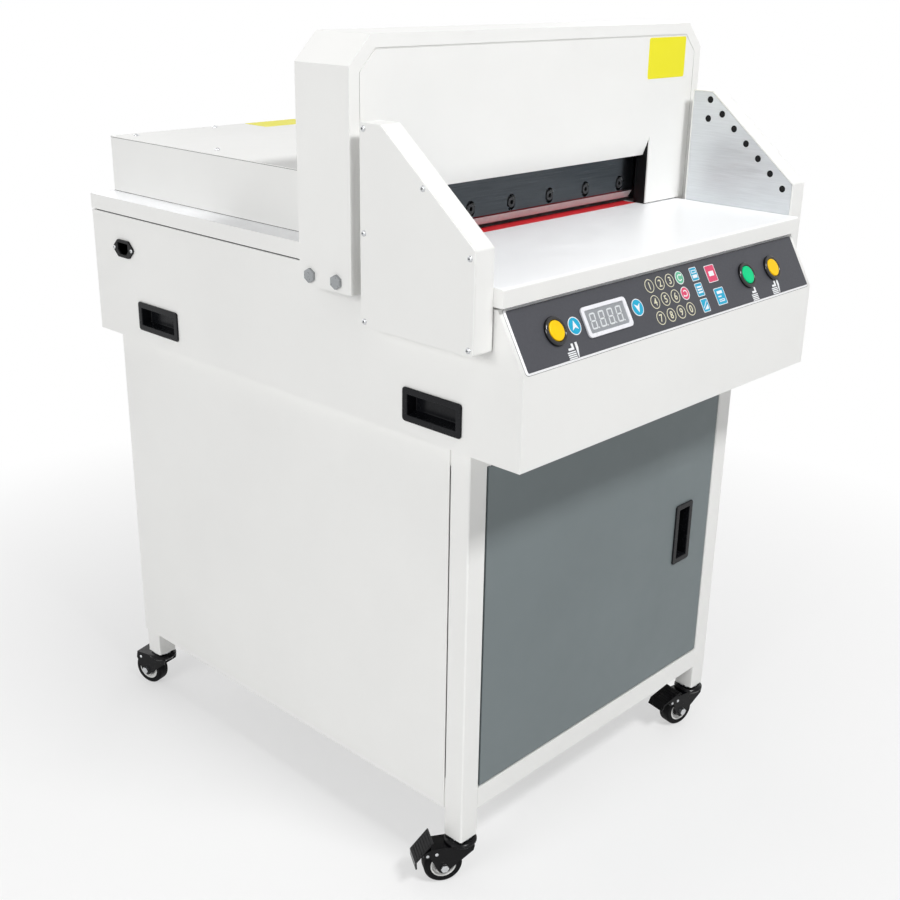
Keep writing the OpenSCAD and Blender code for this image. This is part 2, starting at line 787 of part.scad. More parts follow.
module display_window() {
    frame_h = 2.5;
    glass_in = 1;
    color("gainsboro") on_console(display_at[0], display_at[1]) difference() {
        union() {
            translate([0, 0, overlay_t]) linear_extrude(frame_h)
                rounded_rect(display_size[0], display_size[1], 5);
            translate([-window_size[0] / 2, -window_size[1] / 2, -sheet])
                cube([window_size[0], window_size[1], sheet + overlay_t + eps]);
        }
        translate([0, 0, overlay_t + glass_in]) linear_extrude(frame_h)
            rounded_rect(window_size[0] + 4, window_size[1] + 2, 2);
    }
}

// Push buttons: the cap goes down into the collar's barrel
stem_r = 5;
barrel_l = 20;
skirt = 4;
cap_top = overlay_t + collar_h + 0.5;
barrel_floor = cap_top - skirt - cap_travel - 0.5;
module button_collars() {
    color(BLACK) for (x = button_x) on_console(x, button_s) rotate_extrude() polygon([
        [stem_r + run, -barrel_l], [barrel_r, -barrel_l], [barrel_r, overlay_t], [collar_r, overlay_t],
        [collar_r, overlay_t + collar_h - 2], [collar_r - 0.6, overlay_t + collar_h - 0.6],
        [collar_r - 2, overlay_t + collar_h], [cap_r + seat + 1.2, overlay_t + collar_h],
        [cap_r + seat, overlay_t + collar_h - 1.2], [cap_r + seat, barrel_floor],
        [stem_r + run, barrel_floor]]);
}

module button(i, tint) {
    color(tint) on_console(button_x[i], button_s) rotate_extrude() polygon([
        [0, -barrel_l + cap_travel], [stem_r, -barrel_l + cap_travel], [stem_r, cap_top - skirt],
        [cap_r, cap_top - skirt], [cap_r, cap_top - 1], [cap_r - 1, cap_top - 0.2], [0, cap_top]]);
}

module cut_button_left() { button(0, [0.95, 0.72, 0.05]); }
module clamp_button() { button(1, [0.05, 0.62, 0.36]); }
module cut_button_right() { button(2, [0.95, 0.72, 0.05]); }

// Circuit board behind the keys, on four pillars
module control_board() {
    board = [300, 44];
    stand_off = 12;
    mid_x = -35;
    color([0.05, 0.30, 0.15]) on_console(mid_x, console_l / 2) {
        translate([-board.x / 2, -board.y / 2, -sheet - stand_off - 1.6]) cube([board.x, board.y, 1.6]);
        for (x = [-1, 1]) for (y = [-1, 1])
            translate([x * (board.x / 2 - 6), y * (board.y / 2 - 6), -sheet - stand_off])
            cylinder(r = 3, h = stand_off);
    }
}

// Arch

// Outline of the arch, inset all round, as an arch standing on its two feet
function arch_outline(inset, foot) =
    let (x = x_arch - inset, k = inset * (sqrt(2) - 1), top = z_arch - inset)
    let (shoulder = z_arch - arch_chamfer - k, corner = x_arch - arch_chamfer - k)
    [[-x, foot], [-x, shoulder], [-corner, top], [corner, top], [x, shoulder], [x, foot]];

z_foot = z_table - arch_drop;
ledge_w = 12;
module arch_shell() {
    color(WHITE) difference() {
        union() {
            along_y(y_arch, y_arch_rear) difference() {
                polygon(arch_outline(0, z_foot));
                polygon(arch_outline(sheet, z_foot - eps));
            }
            // Front rim, and the ledge behind it that the cover is screwed to
            along_y(y_arch, y_arch + sheet) difference() {
                polygon(arch_outline(0, z_foot));
                polygon(arch_outline(arch_rim, z_foot - eps));
            }
            along_y(y_arch + sheet, y_arch + 2 * sheet) difference() {
                polygon(arch_outline(0, z_foot));
                polygon(arch_outline(arch_rim + ledge_w, z_foot - eps));
            }
            along_y(y_arch_rear - sheet, y_arch_rear) polygon(arch_outline(0, z_foot));
        }
        // Clear of the table and of the way to the rear table
        box([-x_table - seat, y_arch - eps, z_foot - eps], [x_table + seat, y_arch_rear + eps, z_table]);
        box([-throat_half - 5, y_arch - eps, z_table - eps],
            [throat_half + 5, y_arch_rear + eps, z_table + rear_h]);
        for (y = arch_bolt_y) translate([0, y, z_bolt]) rotate([0, 90, 0])
            cylinder(r = arch_bolt_r + seat, h = arch_w + 2 * eps, center = true);
    }
}

cover_gap = 1.5;
module front_cover() {
    face = y_arch;
    lift = 1.5;
    z_fold = z_table + throat_h + lip_h;
    color(WHITE) {
        along_y(face, face + sheet) difference() {
            polygon(arch_outline(arch_rim + cover_gap, z_table + lift));
            translate([-throat_half, z_table - eps]) square([2 * throat_half, throat_h + lip_h + eps]);
        }
        // Lip folded back over the opening
        along_x(-throat_half + 1, throat_half - 1) polygon([
            [face, z_fold + eps], [face, z_fold], [face + lip_in, z_fold - lip_h],
            [face + lip_in + sheet, z_fold - lip_h], [face + sheet, z_fold], [face + sheet, z_fold + eps]]);
    }
}

arch_bolt_r = 5;
z_bolt = z_table - 25;
arch_bolt_y = [y_arch + 23, y_arch + 67];
module arch_bolts() {
    head_r = 8.5;
    head_h = 4;
    shank = 22;
    color(STEEL) both_sides() for (y = arch_bolt_y) translate([x_arch, y, z_bolt]) rotate([0, 90, 0]) {
        cylinder(r = head_r, h = head_h, $fn = 6);
        translate([0, 0, -shank]) cylinder(r = arch_bolt_r, h = shank + eps);
    }
}

// Cast side frames: an upright plate on a foot, with a lug down the outside of the housing
module side_frames() {
    foot_h = 30;
    y0 = y_arch + 2 * sheet + seat;
    y1 = y_arch_rear - sheet - seat;
    color(DARK) both_sides() difference() {
        union() {
            box([side_x, y0, z_table], [side_x + side_t, y1, z_cross + cross_h]);
            box([side_x, y0, z_table], [x_arch - sheet, y1, z_table + foot_h]);
            box([x_table + seat, y0, z_foot + 2], [x_arch - sheet, y1, z_table + foot_h]);
            along_y(y0 + 30, y0 + 40)
                polygon([[side_x, z_table], [x_arch - 2 * sheet, z_table + foot_h - eps],
                [side_x + side_t, z_cross - 20], [side_x, z_cross - 20]]);
        }
        for (y = arch_bolt_y) translate([x_table + seat - eps, y, z_bolt]) rotate([0, 90, 0])
            cylinder(r = arch_bolt_r + run, h = arch_w);
    }
}

// Black side plates of the paper opening, screwed to the back of the front cover
module slot_cheeks() {
    flange = 14;
    y0 = y_arch + sheet;
    z0 = z_table + seat;
    z1 = z_table + throat_h + lip_h + 6;
    color(BLACK) both_sides() {
        box([throat_half, y0, z0], [throat_half + sheet, y_blade - 2, z1]);
        box([throat_half, y0, z0], [throat_half + flange, y0 + sheet, z1]);
    }
}

// Fixed beam between the side frames, with the two rollers that guide the knife
module crossbeam() {
    y0 = y_beam_rear + 2;
    y1 = y_arch_rear - sheet - 3;
    depth = 15;
    color(DARK) difference() {
        box([-side_x, y0, z_cross], [side_x, y1, z_cross + cross_h]);
        for (s = [-1, 1]) translate([s * clamp_screw_x, y_clamp_mid, z_cross - eps])
            cylinder(r = clamp_screw_r - 2 + run, h = depth + eps);
    }
    color(STEEL) for (s = [-1, 1]) translate([s * roller_x, y0, z_roller]) rotate([90, 0, 0])
        cylinder(r = roller_r, h = y0 - y_knife - 1);
}

// Knife

module knife_beam() {
    slack = 1;
    side_run = run - 0.02;
    color(DARK) difference() {
        box([-beam_half, y_knife, z_beam], [beam_half, y_beam_rear, z_beam_top]);
        // Slanted slots that ride on the rollers
        for (s = [-1, 1]) along_y(y_knife - eps, y_beam_rear + eps) union() {
            ends = [for (q = [q_down + slack, -q_up - slack])
                [s * roller_x, z_roller] + q * [slide_up.x, slide_up.z]];
            for (p = ends) translate(p) circle(r = roller_r + run);
            translate(ends[1]) rotate(knife_slant) translate([-roller_r - side_run, 0])
                square([2 * (roller_r + side_run), norm(ends[0] - ends[1])]);
        }
        for (i = [0:bolt_count - 1])
            translate([(i - (bolt_count - 1) / 2) * bolt_pitch, y_knife - eps, z_blade_bolt])
            rotate([-90, 0, 0]) cylinder(r = 4.1, h = 16);
        translate([-rod_x, y_knife - eps, z_rod_pin]) rotate([-90, 0, 0]) cylinder(r = 6 + run, h = 15);
    }
}

// Blade, hollow ground above its bevel, with counterbored slots for the bolts
relief = [2, 2.5];
slot_r = 7.5;
slot_l = 5;
head_seat = 5;
z_blade_bolt = z_edge + bevel_h + relief.y + slot_l / 2 + slot_r + 0.5;
z_rod_pin = z_beam + 30;
module blade_slot(r) {
    for (s = [-1, 1]) translate([0, s * slot_l / 2]) circle(r = r);
    square([2 * r, slot_l], center = true);
}

module blade() {
    color(STEEL) difference() {
        along_x(-blade_half, blade_half) polygon([
            [y_blade + relief.x, z_edge + bevel_h], [y_blade, z_edge + bevel_h + relief.y],
            [y_blade, z_edge + blade_h], [y_knife, z_edge + blade_h], [y_knife, z_edge]]);
        for (i = [0:bolt_count - 1]) translate([(i - (bolt_count - 1) / 2) * bolt_pitch, 0, z_blade_bolt]) {
            along_y(y_blade - eps, y_blade + head_seat) blade_slot(slot_r);
            along_y(y_blade, y_knife + eps) blade_slot(4.3);
        }
    }
}

// Socket head bolts
module blade_bolts() {
    head_r = 6.5;
    color(BLACK) for (i = [0:bolt_count - 1])
        translate([(i - (bolt_count - 1) / 2) * bolt_pitch, y_blade + head_seat, z_blade_bolt])
            rotate([90, 0, 0]) difference() {
            union() {
                cylinder(r = head_r, h = head_seat + 1);
                translate([0, 0, -blade_t - 6]) cylinder(r = 4, h = blade_t + 6 + eps);
            }
            translate([0, 0, 2]) cylinder(r = 3, h = head_seat, $fn = 6);
        }
}

// Pull rod from the knife beam down to a yoke round the crank pin
yoke = [40, 23];
yoke_rim = 10;
module pull_rod() {
    pin_l = 12;
    color(STEEL) {
        along_y(y_blade + seat, y_knife) difference() {
            union() {
                translate([-rod_x - rod_w / 2, z_yoke]) square([rod_w, z_rod_pin - z_yoke]);
                translate([-rod_x, z_rod_pin]) circle(r = rod_w / 2);
                translate([-rod_x, z_yoke]) rounded_rect(yoke.x + 2 * yoke_rim, yoke.y + 2 * yoke_rim, 6);
            }
            translate([-rod_x, z_yoke]) rounded_rect(yoke.x, yoke.y, 5);
        }
        translate([-rod_x, y_knife - eps, z_rod_pin]) rotate([-90, 0, 0]) cylinder(r = 6, h = pin_l + eps);
    }
}

// Crank disc on the gearbox shaft, with the pin that drives the yoke
crank_y = y_blade - 10;
crank_t = 10;
shaft_r = 12;
module crank_disc() {
    disc_r = crank_r + pin_r + 6;
    shaft_l = 30;
    pin_l = 20;
    color(STEEL) translate([crank_x, crank_y, z_crank]) rotate([90, 0, 0]) {
        cylinder(r = disc_r, h = crank_t);
        translate([0, 0, crank_t - eps]) cylinder(r = shaft_r, h = shaft_l + eps);
        // The pin stands a little past the bottom of its circle at rest
        translate([-crank_r * sin(phi_rest), -crank_r * cos(phi_rest), -pin_l])
            cylinder(r = pin_r, h = pin_l + eps);
    }
}

// Worm gearbox and motor of the knife
module knife_gearmotor() {
    gearbox = 86;
    half = gearbox / 2;
    y1 = crank_y - crank_t - 2;
    y0 = y1 - gearbox;
    r = 38;
    length = 165;
    bore = 40;
    color(DARK) difference() {
        union() {
            box([crank_x - half, y0, z_crank - half], [crank_x + half, y1, z_bed - 15]);
            box([crank_x - half, bed_front + 1, z_bed - 15], [crank_x + half, y1, z_bed]);
            translate([crank_x + half - eps, (y0 + y1) / 2, z_crank]) rotate([0, 90, 0])
                cylinder(r = r, h = length);
            for (i = [1:5]) translate([crank_x + half + i * length / 6, (y0 + y1) / 2, z_crank])
                rotate([0, 90, 0])
                cylinder(r = r + 2, h = 6);
        }
        translate([crank_x, y1 + eps, z_crank]) rotate([90, 0, 0]) cylinder(r = shaft_r + run, h = bore);
    }
}

// Clamp

module clamp_beam() {
    lower = throat_half - 6;
    upper = side_x - 6;
    color(DARK) difference() {
        along_y(y_clamp, y_clamp + clamp_d) polygon([
            [-lower, z_clamp], [lower, z_clamp], [lower, z_clamp + clamp_low], [upper, z_clamp + clamp_low],
            [upper, z_clamp + clamp_low + clamp_up], [-upper, z_clamp + clamp_low + clamp_up],
            [-upper, z_clamp + clamp_low], [-lower, z_clamp + clamp_low]]);
        for (s = [-1, 1]) translate([s * clamp_screw_x, y_clamp_mid, z_clamp])
            cylinder(r = clamp_screw_r + run, h = clamp_low + clamp_up + eps);
    }
}

// Lead screw with the sprocket near its lower end
module clamp_screw(s) {
    journal = clamp_screw_r - 2;
    color(STEEL) translate([s * clamp_screw_x, y_clamp_mid, 0]) {
        translate([0, 0, z_pulley - 10]) cylinder(r = clamp_screw_r, h = z_cross - 1 - z_pulley + 10);
        translate([0, 0, z_cross - 2]) cylinder(r = journal, h = 14);
        translate([0, 0, z_pulley]) cylinder(r = pulley_r, h = pulley_h);
        translate([0, 0, z_pulley - 22]) cylinder(r = journal, h = 14);
    }
}
module clamp_screw_left() { clamp_screw(-1); }
module clamp_screw_right() { clamp_screw(1); }

// Chain that makes the left screw follow the right one
module clamp_chain() {
    thick = 4;
    inner = pulley_r + seat;
    color(DARK) translate([0, y_clamp_mid, z_pulley + 2]) linear_extrude(pulley_h - 4) difference() {
        union() {
            for (s = [-1, 1]) translate([s * clamp_screw_x, 0]) circle(r = inner + thick);
            square([2 * clamp_screw_x, 2 * (inner + thick)], center = true);
        }
        for (s = [-1, 1]) translate([s * clamp_screw_x, 0]) circle(r = inner);
        square([2 * clamp_screw_x, 2 * inner], center = true);
    }
}

// Motor under the right screw, with the bearing block of the left one
module clamp_motor() {
    top = z_pulley - 11;
    bore = clamp_screw_r - 2 + run;
    motor_r = 28;
    block_r = 16;
    foot_t = 8;
    color(DARK) for (s = [-1, 1]) translate([s * clamp_screw_x, y_clamp_mid, z_stand + sheet])
        difference() {
        union() {
            cylinder(r = s > 0 ? motor_r : block_r, h = top - z_stand - sheet);
            if (s > 0) translate([-motor_r - 2, -motor_r - 2, 0])
                cube([2 * motor_r + 4, 2 * motor_r + 4, foot_t]);
        }
        translate([0, 0, top - z_stand - sheet - 12]) cylinder(r = bore, h = 13);
    }
}

// Side guards

// Outline in Y and Z of the right guard
function guard_outline(inset) =
    let (yr = y_guard - inset, yf = y_guard - guard_l + inset, top = z_table + guard_h - inset)
    let (foot = z_table - guard_drop + inset, run_y = guard_l - guard_top, fall = guard_h - guard_nose)
    let (k = inset * (norm([run_y, fall]) - run_y) / fall, m = inset * (norm([run_y, fall]) - fall) / run_y)
    [[yr, foot], [yr, top], [y_guard - guard_top + k, top], [yf, z_table + guard_nose - m], [yf, foot]];

module guard() {
    x0 = x_table;
    x1 = x_table + guard_t - plate_t;
    inner_lip = 6;
    difference() {
        union() {
            along_x(x0, x1) difference() {
                polygon(rounded(guard_outline(0), 3));
                polygon(guard_outline(sheet));
            }
            // Inner wall below the table, where the guard is bolted to it, and a lip for the plate
            along_x(x0 + plate_t, x0 + 2 * plate_t) difference() {
                polygon(guard_outline(sheet / 2));
                polygon(guard_outline(sheet + inner_lip));
            }
            box([x0, y_guard - guard_l + sheet / 2, z_table - guard_drop + sheet / 2],
                [x0 + plate_t, y_guard - sheet / 2, z_table]);
        }
        box([x0 - eps, y_guard - guard_l + sheet, z_table + seat],
            [x0 + plate_t, y_guard - sheet, z_table + guard_nose]);
        // Holes in the lip for the sensors' lenses
        for (p = beam_spots()) translate([x0 - eps, p.x, p.y]) rotate([0, 90, 0])
            cylinder(r = lens_r + seat, h = 2 * plate_t + 2 * eps);
    }
}

module left_guard() { color(WHITE) mirror([1, 0, 0]) guard(); }
module right_guard() { color(WHITE) guard(); }

module guard_covers() {
    x1 = x_table + guard_t;
    color(WHITE) both_sides() along_x(x1 - plate_t, x1) polygon(rounded(guard_outline(0), 3));
}

// Places of the light beams: a row along the sloping edge and one more below its top
function beam_spots() =
    let (from = [y_guard - guard_top + 3, z_table + guard_h - 12],
        to = [y_guard - guard_l + 16, z_table + guard_nose - 8])
    concat([for (i = [0:beam_count - 1]) from + (to - from) * i / (beam_count - 1)], [from - [-1, 25]]);

module sensor_plates() {
    color([0.75, 0.77, 0.79]) both_sides() along_x(x_table, x_table + plate_t) difference() {
        intersection() {
            polygon(guard_outline(sheet + seat));
            translate([y_front, z_table + seat]) square([body_d, guard_h]);
        }
        for (p = beam_spots()) translate(p) circle(r = lens_r + run);
    }
}

// Strip of sensors behind each plate, with a dark lens in each hole
module sensor_strips() {
    strip_t = 4;
    half_w = 7;
    spots = beam_spots();
    last = spots[beam_count - 1];
    d = (last - spots[0]) / norm(last - spots[0]);
    n = [-d.y, d.x] * half_w;
    color(BLACK) both_sides() {
        along_x(x_table + 2 * plate_t, x_table + 2 * plate_t + strip_t) union() {
            polygon([spots[0] - d * half_w + n, spots[0] - d * half_w - n, last + d * half_w - n,
                last + d * half_w + n]);
            translate(spots[beam_count] - [half_w, half_w]) square([2 * half_w, 2 * half_w + 20]);
        }
        for (p = spots) translate([x_table + 0.5, p.x, p.y]) rotate([0, 90, 0])
            cylinder(r = lens_r, h = 2 * plate_t);
    }
}

// Rear housing

module rear_housing() {
    x = rear_w / 2;
    y1 = y_table_rear - 1;
    flange = 14;
    z1 = z_table + rear_h;
    color(WHITE) difference() {
        box([-x, y_arch_rear, z_table], [x, y1, z1]);
        box([-x + sheet, y_arch_rear - eps, z_table - eps], [x - sheet, y1 - sheet, z1 - sheet]);
        box([-x + flange, y_arch_rear - eps, z1 - 2 * sheet], [x - flange, y1 - flange, z1 + eps]);
    }
}

module rear_lid() {
    x = rear_w / 2;
    z1 = z_table + rear_h;
    color(WHITE) box([-x, y_arch_rear + seat, z1], [x, y_table_rear - 1, z1 + lid_t]);
}

// Back gauge: the bar that the paper stands against, and the carriage under the table that moves it
module back_gauge() {
    bar_half = throat_half - 14;
    bar_h = 40;
    lift = 0.5;
    arm_h = 10;
    carriage_half = rod_x_half + 20;
    z0 = z_rod - 14;
    z1 = z_body - 3;
    z2 = z_table + lift;
    color(STEEL) difference() {
        box([-bar_half, gauge_y, z2], [bar_half, gauge_y + gauge_w, z2 + bar_h]);
        // Fingers: the foot of the bar is open between them
        for (i = [-2:2])
            box([i * 80 - 14, gauge_y - eps, z_table],
                [i * 80 + 14, gauge_y + gauge_w / 3, z_table + bar_h / 2]);
    }
    color(DARK) difference() {
        union() {
            box([-carriage_half, gauge_mid - carriage_l / 2, z0],
                [carriage_half, gauge_mid + carriage_l / 2, z1]);
            box([-neck / 2, gauge_mid - neck_l / 2, z1 - eps],
                [neck / 2, gauge_mid + neck_l / 2, z2 + arm_h]);
            box([-neck / 2, gauge_y + gauge_w - eps, z2],
                [neck / 2, gauge_mid + neck_l / 2, z2 + arm_h]);
        }
        for (s = [-1, 1]) translate([s * rod_x_half, gauge_mid - carriage_l, z_rod]) rotate([-90, 0, 0])
            cylinder(r = rod_r + run, h = 2 * carriage_l);
        translate([0, gauge_mid - carriage_l, z_rod]) rotate([-90, 0, 0])
            cylinder(r = gauge_screw_r + run, h = 2 * carriage_l);
    }
}

module gauge_screw() {
    y0 = bed_rear + 12;
    color(STEEL) translate([0, y0, z_rod]) rotate([-90, 0, 0])
        cylinder(r = gauge_screw_r, h = y_bar - motor_l + 12 - y0);
}

module gauge_rails() {
    color(STEEL) for (s = [-1, 1]) translate([s * rod_x_half, bed_rear - 18, z_rod]) rotate([-90, 0, 0])
        cylinder(r = rod_r, h = y_bar + bar_w - 2 - bed_rear + 18);
}

module gauge_motor() {
    color(DARK) difference() {
        translate([-motor_w / 2, y_bar - motor_l, z_rod - motor_w / 2]) cube([motor_w, motor_l, motor_w]);
        translate([0, y_bar - motor_l - eps, z_rod]) rotate([-90, 0, 0])
            cylinder(r = gauge_screw_r + run, h = 14 + eps);
    }
}

// Every node, one at a time or all together
stand_frame();
stand_left_panel();
stand_right_panel();
stand_rear_panel();
stand_floor();
door();
door_handle();
door_hinge_pins();
caster_stems();
caster_fl_fork();
caster_fr_fork();
caster_rl_fork();
caster_rr_fork();
caster_fl_wheel();
caster_fr_wheel();
caster_rl_wheel();
caster_rr_wheel();
caster_fl_brake();
caster_fr_brake();
base_housing();
bed_frame();
table();
cutting_stick();
lift_handles();
power_inlet();
console_overlay();
display_window();
button_collars();
cut_button_left();
clamp_button();
cut_button_right();
control_board();
arch_shell();
front_cover();
arch_bolts();
side_frames();
slot_cheeks();
crossbeam();
knife_beam();
blade();
blade_bolts();
pull_rod();
crank_disc();
knife_gearmotor();
clamp_beam();
clamp_screw_left();
clamp_screw_right();
clamp_chain();
clamp_motor();
left_guard();
right_guard();
guard_covers();
sensor_plates();
sensor_strips();
rear_housing();
rear_lid();
back_gauge();
gauge_screw();
gauge_rails();
gauge_motor();
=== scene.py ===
import math
import bpy
from mathutils import Matrix, Vector
from mathutils.geometry import tessellate_polygon


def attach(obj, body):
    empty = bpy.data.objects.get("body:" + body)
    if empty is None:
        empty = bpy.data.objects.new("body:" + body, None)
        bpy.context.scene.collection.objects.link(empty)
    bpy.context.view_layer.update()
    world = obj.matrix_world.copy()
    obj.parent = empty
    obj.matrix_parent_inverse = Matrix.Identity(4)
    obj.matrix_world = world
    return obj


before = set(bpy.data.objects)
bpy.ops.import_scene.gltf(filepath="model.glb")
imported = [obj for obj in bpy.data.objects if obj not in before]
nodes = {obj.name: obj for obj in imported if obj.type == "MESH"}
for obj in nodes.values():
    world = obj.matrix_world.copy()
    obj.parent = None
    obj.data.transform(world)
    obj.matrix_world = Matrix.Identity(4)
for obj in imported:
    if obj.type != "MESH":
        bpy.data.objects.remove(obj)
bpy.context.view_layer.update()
scene = bpy.context.scene
MM = 0.001

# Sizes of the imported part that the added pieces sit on, in millimetres
Y_FRONT = -402.43
Z_CONSOLE = 698.0
TILT = math.atan2(64.0, 37.0)
OVERLAY = 1.5
GLASS = 2.5
Z_TABLE = 785.0
Z_LID = 859.5
Y_ARCH = -180.43
X_COVER = 325.0
X_ARCH = 326.0
Z_ARCH = 1020.0
ARCH_CHAMFER = 31.0
X_BODY = 294.0
TRAIL = 24.0
AXLE_Z = -38.0
Z_LEG = 63.0
PEDAL_PIN = (46.0, -17.0)
PEDAL_LEAN = 20.0
PEDAL_TOP = 8.2
CONSOLE_L = 73.926
FORK_SIDE = 14.0
AXLE_NUT_R = 6.5
PIN_R = 2.2
HUB_R = 17.02
HUB_CAP_R = 11.5
LID_SCREW_X = 231.0
LID_SCREW_Y = (362.0, 178.0, -6.0)
INLET_AT = (313.57, 718.0)
INLET_FLANGE = 3.0
REAR_X = 258.0
REAR_Y = (-94.0, 384.57)
CASTERS = {
    "fl": (-258.0, -298.43, 148.0),
    "fr": (258.0, -298.43, 168.0),
    "rl": (-256.5, 353.07, 104.0),
    "rr": (256.5, 353.07, 150.0),
}


# Materials

NOISE_SPAN = (0.3, 0.7)    # where most values of a noise lie


def tone(code):
    """Linear colour of an sRGB hex code."""
    parts = [int(code[i:i + 2], 16) / 255 for i in (0, 2, 4)]
    return [c / 12.92 if c <= 0.04045 else ((c + 0.055) / 1.055) ** 2.4 for c in parts]


class Surface:
    """A material whose colour, roughness and relief come from noise in object space."""

    def __init__(self, name, metal=0.0, specular=0.5):
        self.mat = bpy.data.materials.new(name)
        self.mat.use_nodes = True
        self.tree = self.mat.node_tree
        self.shader = self.tree.nodes["Principled BSDF"]
        self.shader.inputs["Metallic"].default_value = metal
        self.shader.inputs["Specular IOR Level"].default_value = specular
        self.coord = self.tree.nodes.new("ShaderNodeTexCoord").outputs["Object"]

    def noise(self, scale, detail=3.0, stretch=(1, 1, 1)):
        place = self.tree.nodes.new("ShaderNodeMapping")
        place.inputs["Scale"].default_value = stretch
        node = self.tree.nodes.new("ShaderNodeTexNoise")
        node.inputs["Scale"].default_value = scale
        node.inputs["Detail"].default_value = detail
        self.tree.links.new(self.coord, place.inputs["Vector"])
        self.tree.links.new(place.outputs["Vector"], node.inputs["Vector"])
        return node.outputs["Fac"]

    def spread(self, source, low, high, out_low, out_high):
        """Values from low to high become values from out_low to out_high."""
        node = self.tree.nodes.new("ShaderNodeMapRange")
        for key, value in zip(("From Min", "From Max", "To Min", "To Max"), (low, high, out_low, out_high)):
            node.inputs[key].default_value = value
        self.tree.links.new(source, node.inputs["Value"])
        return node.outputs["Result"]

    def blend(self, factor, a, b):
        """Colour a where the factor is 0 and b where it is 1."""
        node = self.tree.nodes.new("ShaderNodeMix")
        node.data_type = "RGBA"
        self.tree.links.new(factor, node.inputs["Factor"])
        for key, value in (("A", a), ("B", b)):
            socket = [s for s in node.inputs if s.name == key and s.type == "RGBA"][0]
            socket.default_value = (*value, 1)
        return [s for s in node.outputs if s.type == "RGBA"][0]

    def colour(self, base, vary, scale, stretch=(1, 1, 1), detail=4.0):
        fac = self.spread(self.noise(scale, detail, stretch), *NOISE_SPAN, 0, 1)
        dark = [c * (1 - vary) for c in base]
        light = [min(1, c * (1 + vary)) for c in base]
        self.tree.links.new(self.blend(fac, dark, light), self.shader.inputs["Base Color"])

    def rough(self, level, vary, scale, stretch=(1, 1, 1)):
        out = self.spread(self.noise(scale, 3.0, stretch), *NOISE_SPAN, level - vary, level + vary)
        self.tree.links.new(out, self.shader.inputs["Roughness"])

    def relief(self, scale, strength, depth, stretch=(1, 1, 1), detail=2.0):
        node = self.tree.nodes.new("ShaderNodeBump")
        node.inputs["Strength"].default_value = strength
        node.inputs["Distance"].default_value = depth
        self.tree.links.new(self.noise(scale, detail, stretch), node.inputs["Height"])
        self.tree.links.new(node.outputs["Normal"], self.shader.inputs["Normal"])


def paint(name, code, vary=0.015, rough=0.38, grain=750, relief=0.05, specular=0.5):
    """Powder coat: a faint cloud of tone and an orange-peel skin."""
    s = Surface(name, specular=specular)
    s.colour(tone(code), vary, 6)
    s.rough(rough, 0.05, 40)
    s.relief(grain, relief, 0.0004)
    return s.mat


def moulded(name, code, rough=0.45, grain=1600, relief=0.12, vary=0.06, specular=0.5):
    """Moulded plastic with a fine grain."""
    s = Surface(name, specular=specular)
    s.colour(tone(code), vary, 60)
    s.rough(rough, 0.06, 200)
    s.relief(grain, relief, 0.0003, detail=3.0)
    return s.mat


def metal(name, code, rough=0.28, stretch=(1, 1, 1), grain=400, relief=0.05, vary=0.08, metallic=1.0):
    """Bare metal, with brush or grinding marks along the axis that the stretch keeps long."""
    s = Surface(name, metal=metallic)
    s.colour(tone(code), vary, grain, stretch, 5.0)
    s.rough(rough, 0.08, grain, stretch)
    s.relief(grain, relief, 0.0002, stretch, 4.0)
    return s.mat


def ink(name, code, rough=0.42):
    """Printed colour on the textured foil of the console."""
    s = Surface(name, specular=0.4)
    s.colour(tone(code), 0.04, 300)
    s.rough(rough, 0.05, 500)
    s.relief(2600, 0.06, 0.0002)
    return s.mat


WHITE = paint("white_paint", "EEEEEC", specular=0.35)
# Table top: a glossier enamel than the body white, also made lighter as painted light, to make up for the shade of
# the arch and guards on it
TABLE_ENAMEL_LIT = paint("table_enamel_lit", "FAFBFD", vary=0.005, rough=0.34, grain=900, relief=0.01)
GREY = paint("grey_paint", "757E80", vary=0.03, rough=0.42, grain=900, relief=0.09, specular=0.2)
PLASTIC = moulded("black_plastic", "101012", specular=0.2)
HANDLE = moulded("handle_plastic", "131417", rough=0.24, relief=0.04, specular=0.16)
BEZEL = moulded("black_gloss_plastic", "0C0C0E", rough=0.12, relief=0.02, specular=0.6)
ENAMEL = moulded("black_enamel", "050507", rough=0.22, grain=500, relief=0.04, specular=0.18)
RUBBER = moulded("tyre_rubber", "09090B", rough=0.6, grain=900, relief=0.2, specular=0.12)
HUB = moulded("hub_plastic", "E9E9E7", rough=0.35, relief=0.04, vary=0.02)
STEEL = metal("zinc_steel", "CDCFD1", rough=0.26, grain=250)
BOLT = metal("dull_zinc", "9C9FA1", rough=0.32, grain=250)
OXIDE = metal("black_oxide_steel", "3A3B3D", rough=0.4, grain=900, metallic=0.8)
DARK_STEEL = metal("machined_steel", "8C8F93", rough=0.34, stretch=(0.06, 1, 1), grain=900)
CAST = moulded("cast_iron_paint", "3A3C3F", rough=0.6, grain=350, relief=0.35, vary=0.12)
BLADE = metal("ground_blade", "45494D", rough=0.2, stretch=(0.02, 1, 1), grain=700, relief=0.12, vary=0.2)
